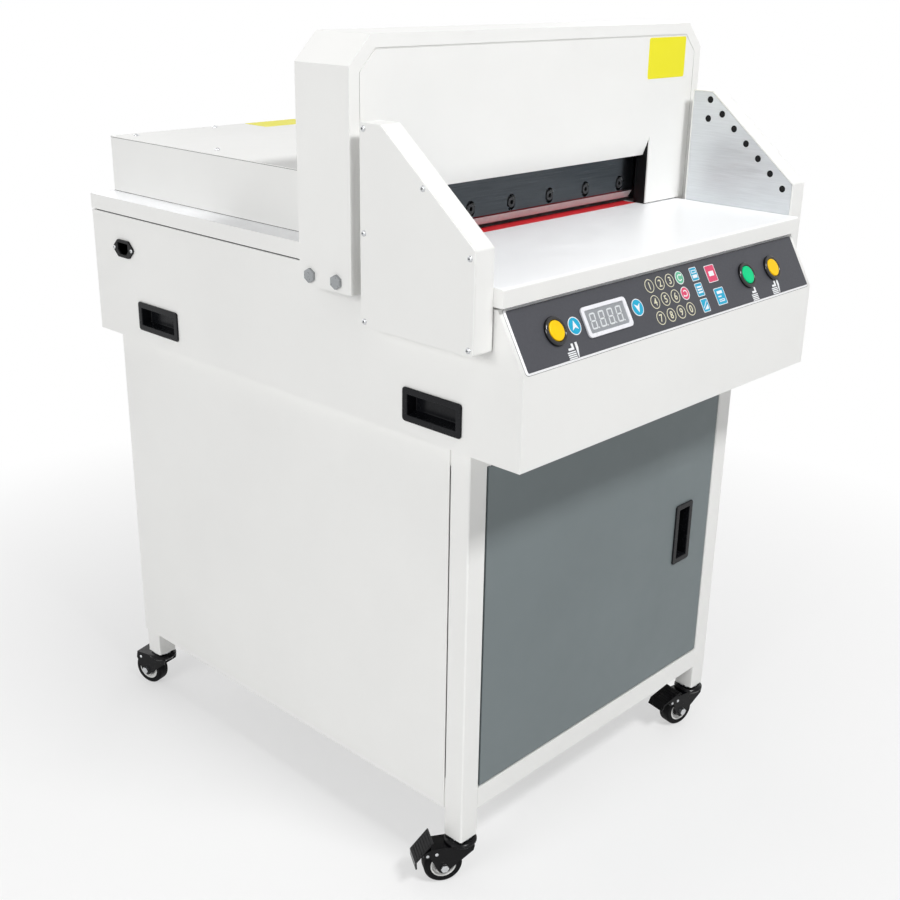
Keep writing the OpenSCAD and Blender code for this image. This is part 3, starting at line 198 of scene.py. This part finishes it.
# Honed bevel of the blade: ground steel, with a pale, mostly non-metal colour that paints in the reflection of the
# bright surroundings
EDGE_SHEEN = metal("honed_bevel_sheen", "C2C4C5", rough=0.5, stretch=(1, 0.03, 0.03), grain=900, relief=0.06, metallic=0.35)
ALUMINIUM = metal("brushed_aluminium", "D6DADD", rough=0.36, stretch=(1, 0.03, 1), grain=1100, relief=0.08,
                  vary=0.05, metallic=0.5)
STICK = paint("red_stick", "E0323A", vary=0.1, rough=0.36, grain=500, relief=0.06)
FOIL = ink("console_foil", "3F4046", rough=0.5)
FRAME = moulded("display_frame", "E9E9EE", rough=0.3, relief=0.03, vary=0.02)
GLASS_GREY = moulded("display_glass", "94979B", rough=0.34, relief=0.01, vary=0.04, specular=0.2)
SEGMENT = ink("display_segment", "D9DCDF", rough=0.3)
YELLOW = moulded("yellow_cap", "FBC908", rough=0.34, relief=0.03, vary=0.03, specular=0.2)
GREEN = moulded("green_cap", "03CD85", rough=0.34, relief=0.03, vary=0.03, specular=0.15)
BOARD = moulded("circuit_board", "14532F", rough=0.5, vary=0.2)
CREAM = ink("cream_ink", "DAD6BC")
PALE = ink("white_ink", "EBEDEF")
KEY_BLUE = ink("blue_ink", "0AA4CA")
KEY_RED = ink("red_ink", "D8466C")
KEY_GREEN = ink("green_ink", "62B793")
PLATE = paint("yellow_plate", "EDE528", vary=0.02, rough=0.4, grain=900, relief=0.02, specular=0.2)
# Dark grey for strips and rings that stand for the shade in narrow seams: painted shade
SEAM_SHADE = moulded("painted_seam_shade", "4A4B4C", rough=0.7)
TRIM = moulded("white_trim", "F3F3F5", rough=0.35, relief=0.03, vary=0.02)


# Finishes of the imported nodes

def dress(name, material, *others):
    """First material everywhere, then each other one where its test on centre and normal holds."""
    mesh = nodes[name].data
    mesh.materials.clear()
    for m in [material] + [o[0] for o in others]:
        mesh.materials.append(m)
    for p in mesh.polygons:
        pick = 0
        for i, (_, test) in enumerate(others):
            if test(p.center / MM, p.normal):
                pick = i + 1
        p.material_index = pick


def soften(name, width, angle=40, segments=2):
    """Small radius on the folded and cut edges of a node."""
    obj = nodes[name]
    weld = obj.modifiers.new("weld", "WELD")
    weld.merge_threshold = 0.00001
    whole = obj.modifiers.new("whole", "DECIMATE")
    whole.decimate_type = "DISSOLVE"
    whole.angle_limit = math.radians(0.3)
    whole.delimit = {"MATERIAL"}
    bevel = obj.modifiers.new("bevel", "BEVEL")
    bevel.width = width * MM
    bevel.segments = segments
    bevel.limit_method = "ANGLE"
    bevel.angle_limit = math.radians(angle)
    even = obj.modifiers.new("even", "WEIGHTED_NORMAL")
    even.weight = 100


def caster_matrix(key):
    """Place of a caster, at the foot of its leg and turned as it stands."""
    x, y, turn = CASTERS[key]
    return Matrix.Translation((x, y, Z_LEG)) @ Matrix.Rotation(math.radians(turn), 4, "Z")


def console_matrix(x=0.0, s=0.0, n=0.0):
    """Place on the sloping console: x to the right, s up the slope from its lower edge, n off its face."""
    base = Matrix.Translation((0, Y_FRONT, Z_CONSOLE)) @ Matrix.Rotation(TILT, 4, "X")
    return base @ Matrix.Translation((x, s, n))


TO_CONSOLE = console_matrix().inverted()

for n in ("stand_frame", "stand_left_panel", "stand_right_panel", "stand_rear_panel", "stand_floor",
          "base_housing", "arch_shell", "front_cover", "left_guard", "right_guard", "guard_covers",
          "rear_housing", "rear_lid"):
    dress(n, WHITE)
# Upward faces of the table get the lighter top colour, partly painted light
dress("table", WHITE, (TABLE_ENAMEL_LIT, lambda c, q: q.z > 0.5))
dress("door", GREY)
for n in ("slot_cheeks", "sensor_strips", "power_inlet"):
    dress(n, PLASTIC)
for n in ("door_handle", "lift_handles"):
    dress(n, HANDLE)
    soften(n, 1.5, 35, 3)
dress("button_collars", BEZEL)
for n in ("bed_frame", "side_frames", "crossbeam", "knife_gearmotor", "clamp_motor", "gauge_motor"):
    dress(n, CAST)
for n in ("knife_beam", "clamp_beam"):
    dress(n, DARK_STEEL)
dress("arch_bolts", BOLT)
for n in ("door_hinge_pins", "caster_stems", "clamp_screw_left", "clamp_screw_right",
          "gauge_screw", "gauge_rails", "pull_rod", "crank_disc"):
    dress(n, STEEL)
dress("clamp_chain", OXIDE)
dress("blade_bolts", OXIDE)
dress("back_gauge", DARK_STEEL, (CAST, lambda c, q: c.z < Z_TABLE))
# Downward-facing bevel faces get the pale bevel colour, a painted reflection
dress("blade", BLADE, (EDGE_SHEEN, lambda c, q: -0.6 < q.z < -0.2))
dress("cutting_stick", STICK)
dress("console_overlay", FOIL)
dress("display_window", FRAME,
      (GLASS_GREY, lambda c, q: abs((TO_CONSOLE @ c).z - GLASS) < 0.2 and (TO_CONSOLE.to_3x3() @ q).z > 0.9))
dress("cut_button_left", YELLOW)
dress("cut_button_right", YELLOW)
dress("clamp_button", GREEN)
dress("control_board", BOARD)
dress("sensor_plates", ALUMINIUM)

for key in CASTERS:
    back = caster_matrix(key).inverted()

    def from_axle(c, back=back):
        p = back @ c
        return math.hypot(p.x - TRAIL, p.z - AXLE_Z)

    def bright(c, q, back=back, far=from_axle):
        p = back @ c
        pin = math.hypot(p.x - PEDAL_PIN[0], p.z - PEDAL_PIN[1]) < PIN_R
        return abs(p.y) > FORK_SIDE + 0.05 and (far(c) < AXLE_NUT_R or pin)

    dress("caster_%s_fork" % key, ENAMEL, (STEEL, bright))
    dress("caster_%s_wheel" % key, RUBBER,
          (HUB, lambda c, q, far=from_axle: far(c) < HUB_R),
          (PLASTIC, lambda c, q, far=from_axle: far(c) < HUB_CAP_R))
for n in ("caster_fl_brake", "caster_fr_brake"):
    dress(n, ENAMEL)

for n in ("base_housing", "arch_shell", "front_cover", "rear_housing"):
    soften(n, 0.9)
for n in ("table", "stand_frame", "door", "left_guard", "right_guard"):
    soften(n, 0.7)
for n in ("stand_left_panel", "stand_right_panel", "stand_rear_panel", "rear_lid", "guard_covers",
          "sensor_plates"):
    soften(n, 0.5)
for n in ("power_inlet", "display_window", "button_collars", "blade",
          "arch_bolts", "blade_bolts", "cut_button_left", "cut_button_right", "clamp_button"):
    soften(n, 0.5, 35)
for key in CASTERS:
    soften("caster_%s_fork" % key, 0.6, 35)
    soften("caster_%s_wheel" % key, 0.5, 35)


# Shapes of the added pieces

def ring(r, count=40, start=0.0, end=360.0):
    """Points of a circle, or of an arc with both its ends."""
    steps = count if end - start >= 360 else count + 1
    angles = [math.radians(start + (end - start) * i / count) for i in range(steps)]
    return [(r * math.cos(a), r * math.sin(a)) for a in angles]


def round_rect(w, h, r, steps=5):
    points = []
    for sx, sy, a in ((1, 1, 0), (-1, 1, 90), (-1, -1, 180), (1, -1, 270)):
        for i in range(steps + 1):
            t = math.radians(a + 90 * i / steps)
            points.append((sx * (w / 2 - r) + r * math.cos(t), sy * (h / 2 - r) + r * math.sin(t)))
    return points


def shift(points, dx, dy, turn=0.0):
    c, s = math.cos(math.radians(turn)), math.sin(math.radians(turn))
    return [(dx + x * c - y * s, dy + x * s + y * c) for x, y in points]


class Piece:
    """One added object: its sides are collected here, in millimetres, and made at the end."""

    def __init__(self, name):
        self.name = name
        self.verts, self.faces, self.picks, self.mats = [], [], [], []

    def put(self, verts, faces, material, place):
        if material not in self.mats:
            self.mats.append(material)
        start = len(self.verts)
        self.verts += [place @ Vector(v) for v in verts]
        self.faces += [tuple(start + i for i in f) for f in faces]
        self.picks += [self.mats.index(material)] * len(faces)

    def flat(self, outline, low, high, material, place, holes=()):
        """Plate with any outline and holes."""
        loops = [outline] + [list(h) for h in holes]
        points = [p for loop in loops for p in loop]
        k = len(points)
        verts = [(x, y, high) for x, y in points] + [(x, y, low) for x, y in points]
        faces = []
        for a, b, c in tessellate_polygon([[Vector((x, y, 0)) for x, y in loop] for loop in loops]):
            up = (points[b][0] - points[a][0]) * (points[c][1] - points[a][1]) \
                - (points[b][1] - points[a][1]) * (points[c][0] - points[a][0])
            a, b, c = (a, b, c) if up > 0 else (a, c, b)
            faces += [(a, b, c), (c + k, b + k, a + k)]
        first = 0
        for number, loop in enumerate(loops):
            m = len(loop)
            area = sum(loop[i][0] * loop[(i + 1) % m][1] - loop[(i + 1) % m][0] * loop[i][1] for i in range(m))
            outward = (area > 0) == (number == 0)
            for i in range(m):
                a, b = first + i, first + (i + 1) % m
                faces.append((a, a + k, b + k, b) if outward else (b, b + k, a + k, a))
            first += m
        self.put(verts, faces, material, place)

    def loft(self, loops, material, place, top=True, bottom=True):
        """Skin over closed loops of equal length, from the lowest to the highest."""
        m = len(loops[0])
        verts = [p for loop in loops for p in loop]
        faces = []
        for j in range(len(loops) - 1):
            for i in range(m):
                a, b = j * m + i, j * m + (i + 1) % m
                faces.append((a, b, b + m, a + m))
        if top:
            faces.append(tuple((len(loops) - 1) * m + i for i in range(m)))
        if bottom:
            faces.append(tuple(reversed(range(m))))
        self.put(verts, faces, material, place)

    def turned(self, profile, material, place, count=40, top=True):
        """Skin of a turned form, from pairs of radius and height."""
        self.loft([[(x, y, z) for x, y in ring(r, count)] for r, z in profile], material, place, top)

    def figure(self, char, size, material, place, thick=0.12):
        """A plain digit."""
        curve = bpy.data.curves.new("digit", "FONT")
        curve.body = char
        curve.size = size
        curve.align_x = "CENTER"
        curve.align_y = "CENTER"
        curve.extrude = thick / 2
        curve.resolution_u = 4
        curve.offset = size * 0.012
        obj = bpy.data.objects.new("digit", curve)
        mesh = bpy.data.meshes.new_from_object(obj)
        verts = [v.co.copy() for v in mesh.vertices]
        low = [min(v[i] for v in verts) for i in range(2)]
        high = [max(v[i] for v in verts) for i in range(2)]
        mid = Vector(((low[0] + high[0]) / 2, (low[1] + high[1]) / 2, -thick / 2))
        self.put([v - mid for v in verts], [tuple(p.vertices) for p in mesh.polygons], material, place)
        bpy.data.objects.remove(obj)
        bpy.data.curves.remove(curve)
        bpy.data.meshes.remove(mesh)

    def screw(self, place, r=3.4, h=2.1, sunk=0.3):
        """Pan head with a cross recess."""
        self.turned([(r, -sunk), (r, 0.3 * h), (0.95 * r, 0.55 * h), (0.82 * r, 0.8 * h), (0.6 * r, h)],
                    STEEL, place, 24, top=False)
        a, b = 0.46 * r, 0.12 * r
        cross = [(a, b), (b, b), (b, a), (-b, a), (-b, b), (-a, b), (-a, -b), (-b, -b), (-b, -a), (b, -a),
                 (b, -b), (a, -b)]
        cross = shift(cross, 0, 0, 20)
        self.flat(ring(0.6 * r, 24), h - 0.9, h, STEEL, place, [cross])
        self.flat(cross, h - 0.95, h - 0.9, OXIDE, place)

    def done(self, body, smooth=35):
        """Makes the object, and sets it on its body."""
        mesh = bpy.data.meshes.new(self.name)
        mesh.from_pydata([v * MM for v in self.verts], [], self.faces)
        for m in self.mats:
            mesh.materials.append(m)
        mesh.polygons.foreach_set("material_index", self.picks)
        mesh.polygons.foreach_set("use_smooth", [True] * len(self.faces))
        mesh.update()
        mesh.set_sharp_from_angle(angle=math.radians(smooth))
        obj = bpy.data.objects.new(self.name, mesh)
        scene.collection.objects.link(obj)
        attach(obj, body)


# Console: membrane keys, digits, display figures and plain signs

COLUMNS = (-42.3, -21.6, -1.5, 18.7)
ROWS = (56.6, 37.0, 17.4)

keys = Piece("console_keys")
marks = Piece("console_marks")


def round_key(x, s, r, face, rim):
    at = console_matrix(x, s, OVERLAY)
    keys.turned([(r - 0.9, 0.0), (r - 0.95, 0.25), (r * 0.55, 0.42), (r * 0.12, 0.46)], face, at, 40)
    marks.flat(ring(r), 0.0, 0.3, rim, at, [ring(r - 0.95)])


def square_key(x, s, w, h, face, rim):
    at = console_matrix(x, s, OVERLAY)
    loops = []
    for inset, n in ((0.8, 0.0), (0.85, 0.25), (2.6, 0.42)):
        loops.append([(px, py, n) for px, py in round_rect(w - 2 * inset, h - 2 * inset, 1.0)])
    keys.loft(loops, face, at)
    marks.flat(round_rect(w, h, 1.6), 0.0, 0.3, rim, at, [round_rect(w - 1.6, h - 1.6, 1.0)])


def sign(x, s, outline, material=PALE, lift=0.4, thick=0.14, holes=()):
    marks.flat(outline, lift, lift + thick, material, console_matrix(x, s, OVERLAY), holes)


def rect(x0, y0, x1, y1):
    return [(x0, y0), (x1, y0), (x1, y1), (x0, y1)]


digits = iter("1234567890")
for r, s in enumerate(ROWS):
    for c, x in enumerate(COLUMNS):
        if c == 3 and r < 2:
            round_key(x, s, 8.2, KEY_GREEN if r == 0 else KEY_RED, PALE)
            # Open ring with an arrow point
            arc = ring(4.2, 20, 40, 320) + list(reversed(ring(2.9, 20, 40, 320)))
            tip = [(2.0, 3.6), (4.6, 3.9), (4.3, 1.0)]
            if r == 1:
                arc, tip = shift(arc, 0, 0, 180), shift(tip, 0, 0, 180)
            sign(x, s, arc)
            sign(x, s, tip)
        else:
            round_key(x, s, 8.2, FOIL, CREAM)
            marks.figure(next(digits), 12.5, CREAM, console_matrix(x, s, OVERLAY + 0.4), 0.14)

arrow = [(0, 6.2), (5.2, -4.4), (0, -1.6), (-5.2, -4.4)]
for x, turn in ((-191.8, 0), (-77.0, 180)):
    round_key(x, 36.8, 10.2, KEY_BLUE, PALE)
    sign(x, 36.8, shift(arrow, 0, 0, turn))

for s, number in ((56.2, 0), (36.3, 1), (16.4, 2)):
    square_key(49.3, s, 14.5, 16.8, KEY_BLUE, PALE)
    if number == 0:
        # Two sheets moved apart
        sign(49.3, s, rect(-4.6, 0.9, 4.6, 5.0), holes=[rect(-3.6, 1.8, 3.6, 4.1)])
        sign(49.3, s, rect(-4.6, -5.0, 4.6, -0.9))
    elif number == 1:
        # Stack of sheets
        for i in range(3):
            sign(49.3, s, rect(-4.6, -4.4 + 3.4 * i, 4.6, -2.4 + 3.4 * i))
    else:
        # Sheet with a cut corner, and a slanted line
        sign(49.3, s, [(-4.6, -5.2), (4.4, -5.2), (4.4, 0.6)])
        sign(49.3, s, [(-4.6, -3.4), (-4.6, -2.2), (4.0, 5.4), (4.6, 4.4)])

square_key(83.5, 51.3, 20.6, 21.8, KEY_RED, PALE)
sign(83.5, 51.3, round_rect(10.5, 6.2, 0.8))
square_key(86.0, 21.6, 20.4, 21.6, KEY_BLUE, PALE)
sign(86.0, 26.6, rect(-5.5, -1.8, 5.5, 1.8))
sign(86.0, 21.4, rect(-5.5, -0.8, 1.5, 0.8))
sign(86.0, 16.4, rect(-5.5, -1.6, 5.5, 1.6), holes=[rect(-4.5, -0.6, 4.5, 0.6)])


def press_sign(x, s, knife):
    """Stack of sheets under a clamp, with a slanted knife beside it."""
    for i in range(4):
        sign(x, s, rect(-9.0, -8.0 + 2.2 * i, 4.4, -6.6 + 2.2 * i), lift=0.02)
    sign(x, s, [(-6.0, 1.4), (3.4, 1.4), (3.4, 8.4), (0.0, 8.4), (0.0, 4.0), (-6.0, 4.0)], lift=0.02)
    if knife:
        sign(x, s, [(6.0, -8.0), (7.0, -8.0), (10.4, 2.6), (10.4, 8.8), (6.8, 8.8), (6.0, -4.0)], lift=0.02)


press_sign(-208.5, 11.4, True)
press_sign(161.0, 11.6, False)
press_sign(209.5, 11.8, True)

# Seven-segment figures on the display, all of them unlit
SEG_W, SEG_H, SEG_T = 9.8, 18.6, 1.8
for i in range(4):
    x = -136.5 + (i - 1.5) * 15.6
    lean = 0.09

    def bar(points):
        sign(x, 36.0, [(px + lean * py, py) for px, py in points], SEGMENT, GLASS - OVERLAY, 0.15)

    w, h, t, g = SEG_W / 2, SEG_H / 2, SEG_T, 0.35
    for y in (h, t / 2, -h + t):
        bar([(-w + g + 0.5, y - t / 2), (-w + t + g, y), (w - t - g, y), (w - g - 0.5, y - t / 2),
             (w - t - g, y - t), (-w + t + g, y - t)])
    for sx in (-1, 1):
        for low, high in ((g, h - g), (-h + g, -g)):
            m = 0.5 * t
            side = [(sx * w, high - m), (sx * (w - t / 2), high), (sx * (w - t), high - t), (sx * (w - t), low + t),
                    (sx * (w - t / 2), low), (sx * w, low + m)]
            bar(side if sx < 0 else list(reversed(side)))
    sign(x, 36.0, shift(ring(0.95, 16), w + 1.6 - lean * h, -h + 0.9), SEGMENT, GLASS - OVERLAY, 0.15)

# White trim round the foil, with a thin dark ring outside it: painted shade in the seam
trim = Piece("console_trim")
TRIM_W, TRIM_H, TRIM_EDGE = 572.3, 68.2, 2.3
at = console_matrix(0, CONSOLE_L / 2)


def trim_loop(grow, n):
    return [(x, y, n) for x, y in round_rect(TRIM_W + 2 * grow, TRIM_H + 2 * grow, 2.0 + grow)]


skin = [(TRIM_EDGE, 0.0), (TRIM_EDGE, 0.3), (TRIM_EDGE - 1.0, 0.9), (0.4, 1.4), (0.0, 1.5), (0.0, 0.0)]
trim.loft([trim_loop(*p) for p in skin + skin[:1]], TRIM, at, top=False, bottom=False)
shade_ring = round_rect(TRIM_W + 2 * TRIM_EDGE + 0.8, TRIM_H + 2 * TRIM_EDGE + 0.8, 4.4)
# Flat dark ring round the trim: painted shade in the seam
trim.flat(shade_ring, 0.0, 0.1, SEAM_SHADE, at, [round_rect(TRIM_W + 2 * TRIM_EDGE, TRIM_H + 2 * TRIM_EDGE, 4.3)])
trim.done("root")

keys.done("root")
marks.done("root")

# Screws of the guard covers, the rear lid and the inlet
screws = Piece("cover_screws")
GUARD_SCREWS = ((-200.6, 928.6), (-200.6, 820.0), (-200.6, 723.4), (-288.0, 878.0), (-354.2, 817.6),
                (-354.2, 723.4))
for side in (-1, 1):
    out = Matrix.Rotation(math.radians(90 * side), 4, "Y")
    for y, z in GUARD_SCREWS:
        screws.screw(Matrix.Translation((side * X_COVER, y, z)) @ out, 3.3, 2.0)
    for y in LID_SCREW_Y:
        screws.screw(Matrix.Translation((side * LID_SCREW_X, y, Z_LID)), 3.6, 2.2)
for x in (-90.0, 90.0):
    screws.screw(Matrix.Translation((x, 372.0, Z_LID)), 3.6, 2.2)
left = Matrix.Rotation(math.radians(-90), 4, "Y")
for y in (-20.2, 20.2):
    place = Matrix.Translation((-X_BODY - INLET_FLANGE, INLET_AT[0] + y, INLET_AT[1])) @ left
    screws.screw(place, 2.6, 1.0)
screws.done("root")

# Bare plates
plates = Piece("blank_plates")
front = Matrix.Translation((246.8, Y_ARCH, 977.0)) @ Matrix.Rotation(math.radians(90), 4, "X")
plates.flat(round_rect(84.5, 52.0, 3.0), 0.0, 0.25, PLATE, front)
top = Matrix.Translation((20.0, 356.0, Z_LID))
plates.flat(round_rect(96.0, 52.0, 3.0), 0.0, 0.25, PLATE, top)
plates.done("root")

# Thin dark strips under the lid and under the rear housing: painted shade in these seams
seam_shades = Piece("seam_shade_strips")
for z, thick, out in ((858.0, 0.5, -0.12), (785.25, 0.5, 0.12)):
    at = Matrix.Translation((0, 0, z))
    x, y0, y1, w = REAR_X + out, REAR_Y[0], REAR_Y[1] + out, 0.6
    path = [(-x, y0), (-x, y1), (x, y1), (x, y0), (x - w, y0), (x - w, y1 - w), (-x + w, y1 - w), (-x + w, y0)]
    seam_shades.flat(path, -thick / 2, thick / 2, SEAM_SHADE, at)
seam_shades.done("root")

# Bead of paint in the groove round the front cover
bead = Piece("cover_bead")


def arch_line(inset):
    """Outline of the arch, drawn in by the inset."""
    k = inset * (math.sqrt(2) - 1)
    x, top = X_ARCH - inset, Z_ARCH - inset
    corner, shoulder = X_ARCH - ARCH_CHAMFER - k, Z_ARCH - ARCH_CHAMFER - k
    return [(-x, Z_TABLE + 2), (-x, shoulder), (-corner, top), (corner, top), (x, shoulder), (x, Z_TABLE + 2)]


at = Matrix.Translation((0, Y_ARCH, 0)) @ Matrix.Rotation(math.radians(90), 4, "X")
bead.flat(arch_line(14.2) + arch_line(15.3)[::-1], -1.9, -0.7, WHITE, at)
bead.done("root")

# Ribs on the pedals, and rivets on the fork plates
for key, press in (("fl", 30.0), ("fr", 0.0)):
    at = caster_matrix(key) @ Matrix.Translation((PEDAL_PIN[0], 0, PEDAL_PIN[1])) \
        @ Matrix.Rotation(math.radians(press + PEDAL_LEAN), 4, "Y")
    ribs = Piece("pedal_ribs_" + key)
    for i in range(7):
        place = at @ Matrix.Translation((-15.5 + 4.4 * i, 0, PEDAL_TOP))
        steps = ((1.7, -0.2), (1.6, 0.4), (1.0, 0.7))
        ribs.loft([[(x, y, n) for x, y in round_rect(w, 26.0, 0.4, 3)] for w, n in steps], ENAMEL, place)
    ribs.done("brake_" + key)
for key in CASTERS:
    rivets = Piece("caster_rivets_" + key)
    for side in (-1, 1):
        place = caster_matrix(key) @ Matrix.Translation((34.0, side * FORK_SIDE, -17.0)) \
            @ Matrix.Rotation(math.radians(-90 * side), 4, "X")
        rivets.turned([(2.3, -0.2), (2.25, 0.3), (1.8, 0.8), (0.8, 1.1)], STEEL, place, 20)
    rivets.done("caster_" + key)


# Floor, light and camera

FLOOR_TONE = (0.82, 0.82, 0.82)
FADE = (0.5, 1.4)    # distance over which the floor turns into plain white, in metres
AMBIENT = 0.3


def maths(tree, operation, a, b):
    node = tree.nodes.new("ShaderNodeMath")
    node.operation = operation
    tree.links.new(a, node.inputs[0])
    tree.links.new(b, node.inputs[1])
    return node.outputs[0]


def seen(tree):
    """1 for camera, glossy and transmission rays, 0 for the others."""
    path = tree.nodes.new("ShaderNodeLightPath").outputs
    both = maths(tree, "MAXIMUM", path["Is Camera Ray"], path["Is Glossy Ray"])
    return maths(tree, "MAXIMUM", both, path["Is Transmission Ray"])


def mix_out(tree, factor, first, second, output):
    mix = tree.nodes.new("ShaderNodeMixShader")
    tree.links.new(factor, mix.inputs[0])
    tree.links.new(first.outputs[0], mix.inputs[1])
    tree.links.new(second.outputs[0], mix.inputs[2])
    tree.links.new(mix.outputs[0], tree.nodes[output].inputs["Surface"])


floor = Surface("studio_floor", specular=0.1)
floor.colour(FLOOR_TONE, 0.006, 3)
floor.shader.inputs["Roughness"].default_value = 0.9
plain = floor.tree.nodes.new("ShaderNodeEmission")
plain.inputs["Strength"].default_value = 1.0
reach = floor.tree.nodes.new("ShaderNodeVectorMath")
reach.operation = "LENGTH"
floor.tree.links.new(floor.coord, reach.inputs[0])
fade = floor.spread(reach.outputs["Value"], *FADE, 0.5, 1.0)
mix_out(floor.tree, maths(floor.tree, "MULTIPLY", fade, seen(floor.tree)), floor.shader, plain, "Material Output")

ground = bpy.data.meshes.new("ground")
ground.from_pydata([(-12, -12, 0), (12, -12, 0), (12, 12, 0), (-12, 12, 0)], [], [(0, 1, 2, 3)])
ground.materials.append(floor.mat)
ground_obj = bpy.data.objects.new("ground", ground)
scene.collection.objects.link(ground_obj)

world = bpy.data.worlds.new("studio")
scene.world = world
world.use_nodes = True
soft = world.node_tree.nodes["Background"]
clear = world.node_tree.nodes.new("ShaderNodeBackground")
for node, strength in ((soft, AMBIENT), (clear, 1.0)):
    node.inputs["Color"].default_value = (1, 1, 1, 1)
    node.inputs["Strength"].default_value = strength
mix_out(world.node_tree, seen(world.node_tree), soft, clear, "World Output")


def lamp(name, place, aim, size, power):
    data = bpy.data.lights.new(name, "AREA")
    data.shape = "RECTANGLE"
    data.size, data.size_y = size
    data.energy = power
    obj = bpy.data.objects.new(name, data)
    obj.location = place
    obj.rotation_euler = (Vector(aim) - Vector(place)).to_track_quat("-Z", "Y").to_euler()
    scene.collection.objects.link(obj)


# Name, place, aim, size and power
lamp("front_box", (-0.15, -2.4, 3.4), (0, -0.2, 0.6), (1.3, 0.5), 86)
lamp("left_box", (-3.3, -0.3, 1.8), (0, 0, 0.6), (1.8, 1.0), 44)
lamp("rear_box", (0.1, 3.4, 1.9), (0, 0, 0.6), (3.0, 1.8), 22)
lamp("right_box", (3.4, 1.0, 1.9), (0, 0, 0.6), (2.4, 1.6), 14)

# Camera fitted to the photograph, with its focal length and centre in pixels of a 900 x 900 image
IMAGE, FOCAL, CENTRE = 900.0, 1264.89, (452.652, 456.565)
camera = bpy.data.cameras.new("camera")
camera.sensor_fit = "HORIZONTAL"
camera.sensor_width = 36.0
camera.lens = FOCAL * camera.sensor_width / IMAGE
camera.shift_x = -(CENTRE[0] - IMAGE / 2) / IMAGE
camera.shift_y = (CENTRE[1] - IMAGE / 2) / IMAGE
yaw, pitch, roll = (math.radians(a) for a in (47.018, -21.258, 1.0606))
ahead = Vector((math.sin(yaw) * math.cos(pitch), math.cos(yaw) * math.cos(pitch), math.sin(pitch)))
level = Vector((math.cos(yaw), -math.sin(yaw), 0))
rise = level.cross(ahead)
right = math.cos(roll) * level + math.sin(roll) * rise
up = -math.sin(roll) * level + math.cos(roll) * rise
view = Matrix((right, up, -ahead)).transposed().to_4x4()
view.translation = Vector((-1.23678, -1.18505, 1.088))
camera_obj = bpy.data.objects.new("camera", camera)
camera_obj.matrix_world = view
scene.collection.objects.link(camera_obj)
scene.camera = camera_obj
scene.view_settings.view_transform = "Standard"
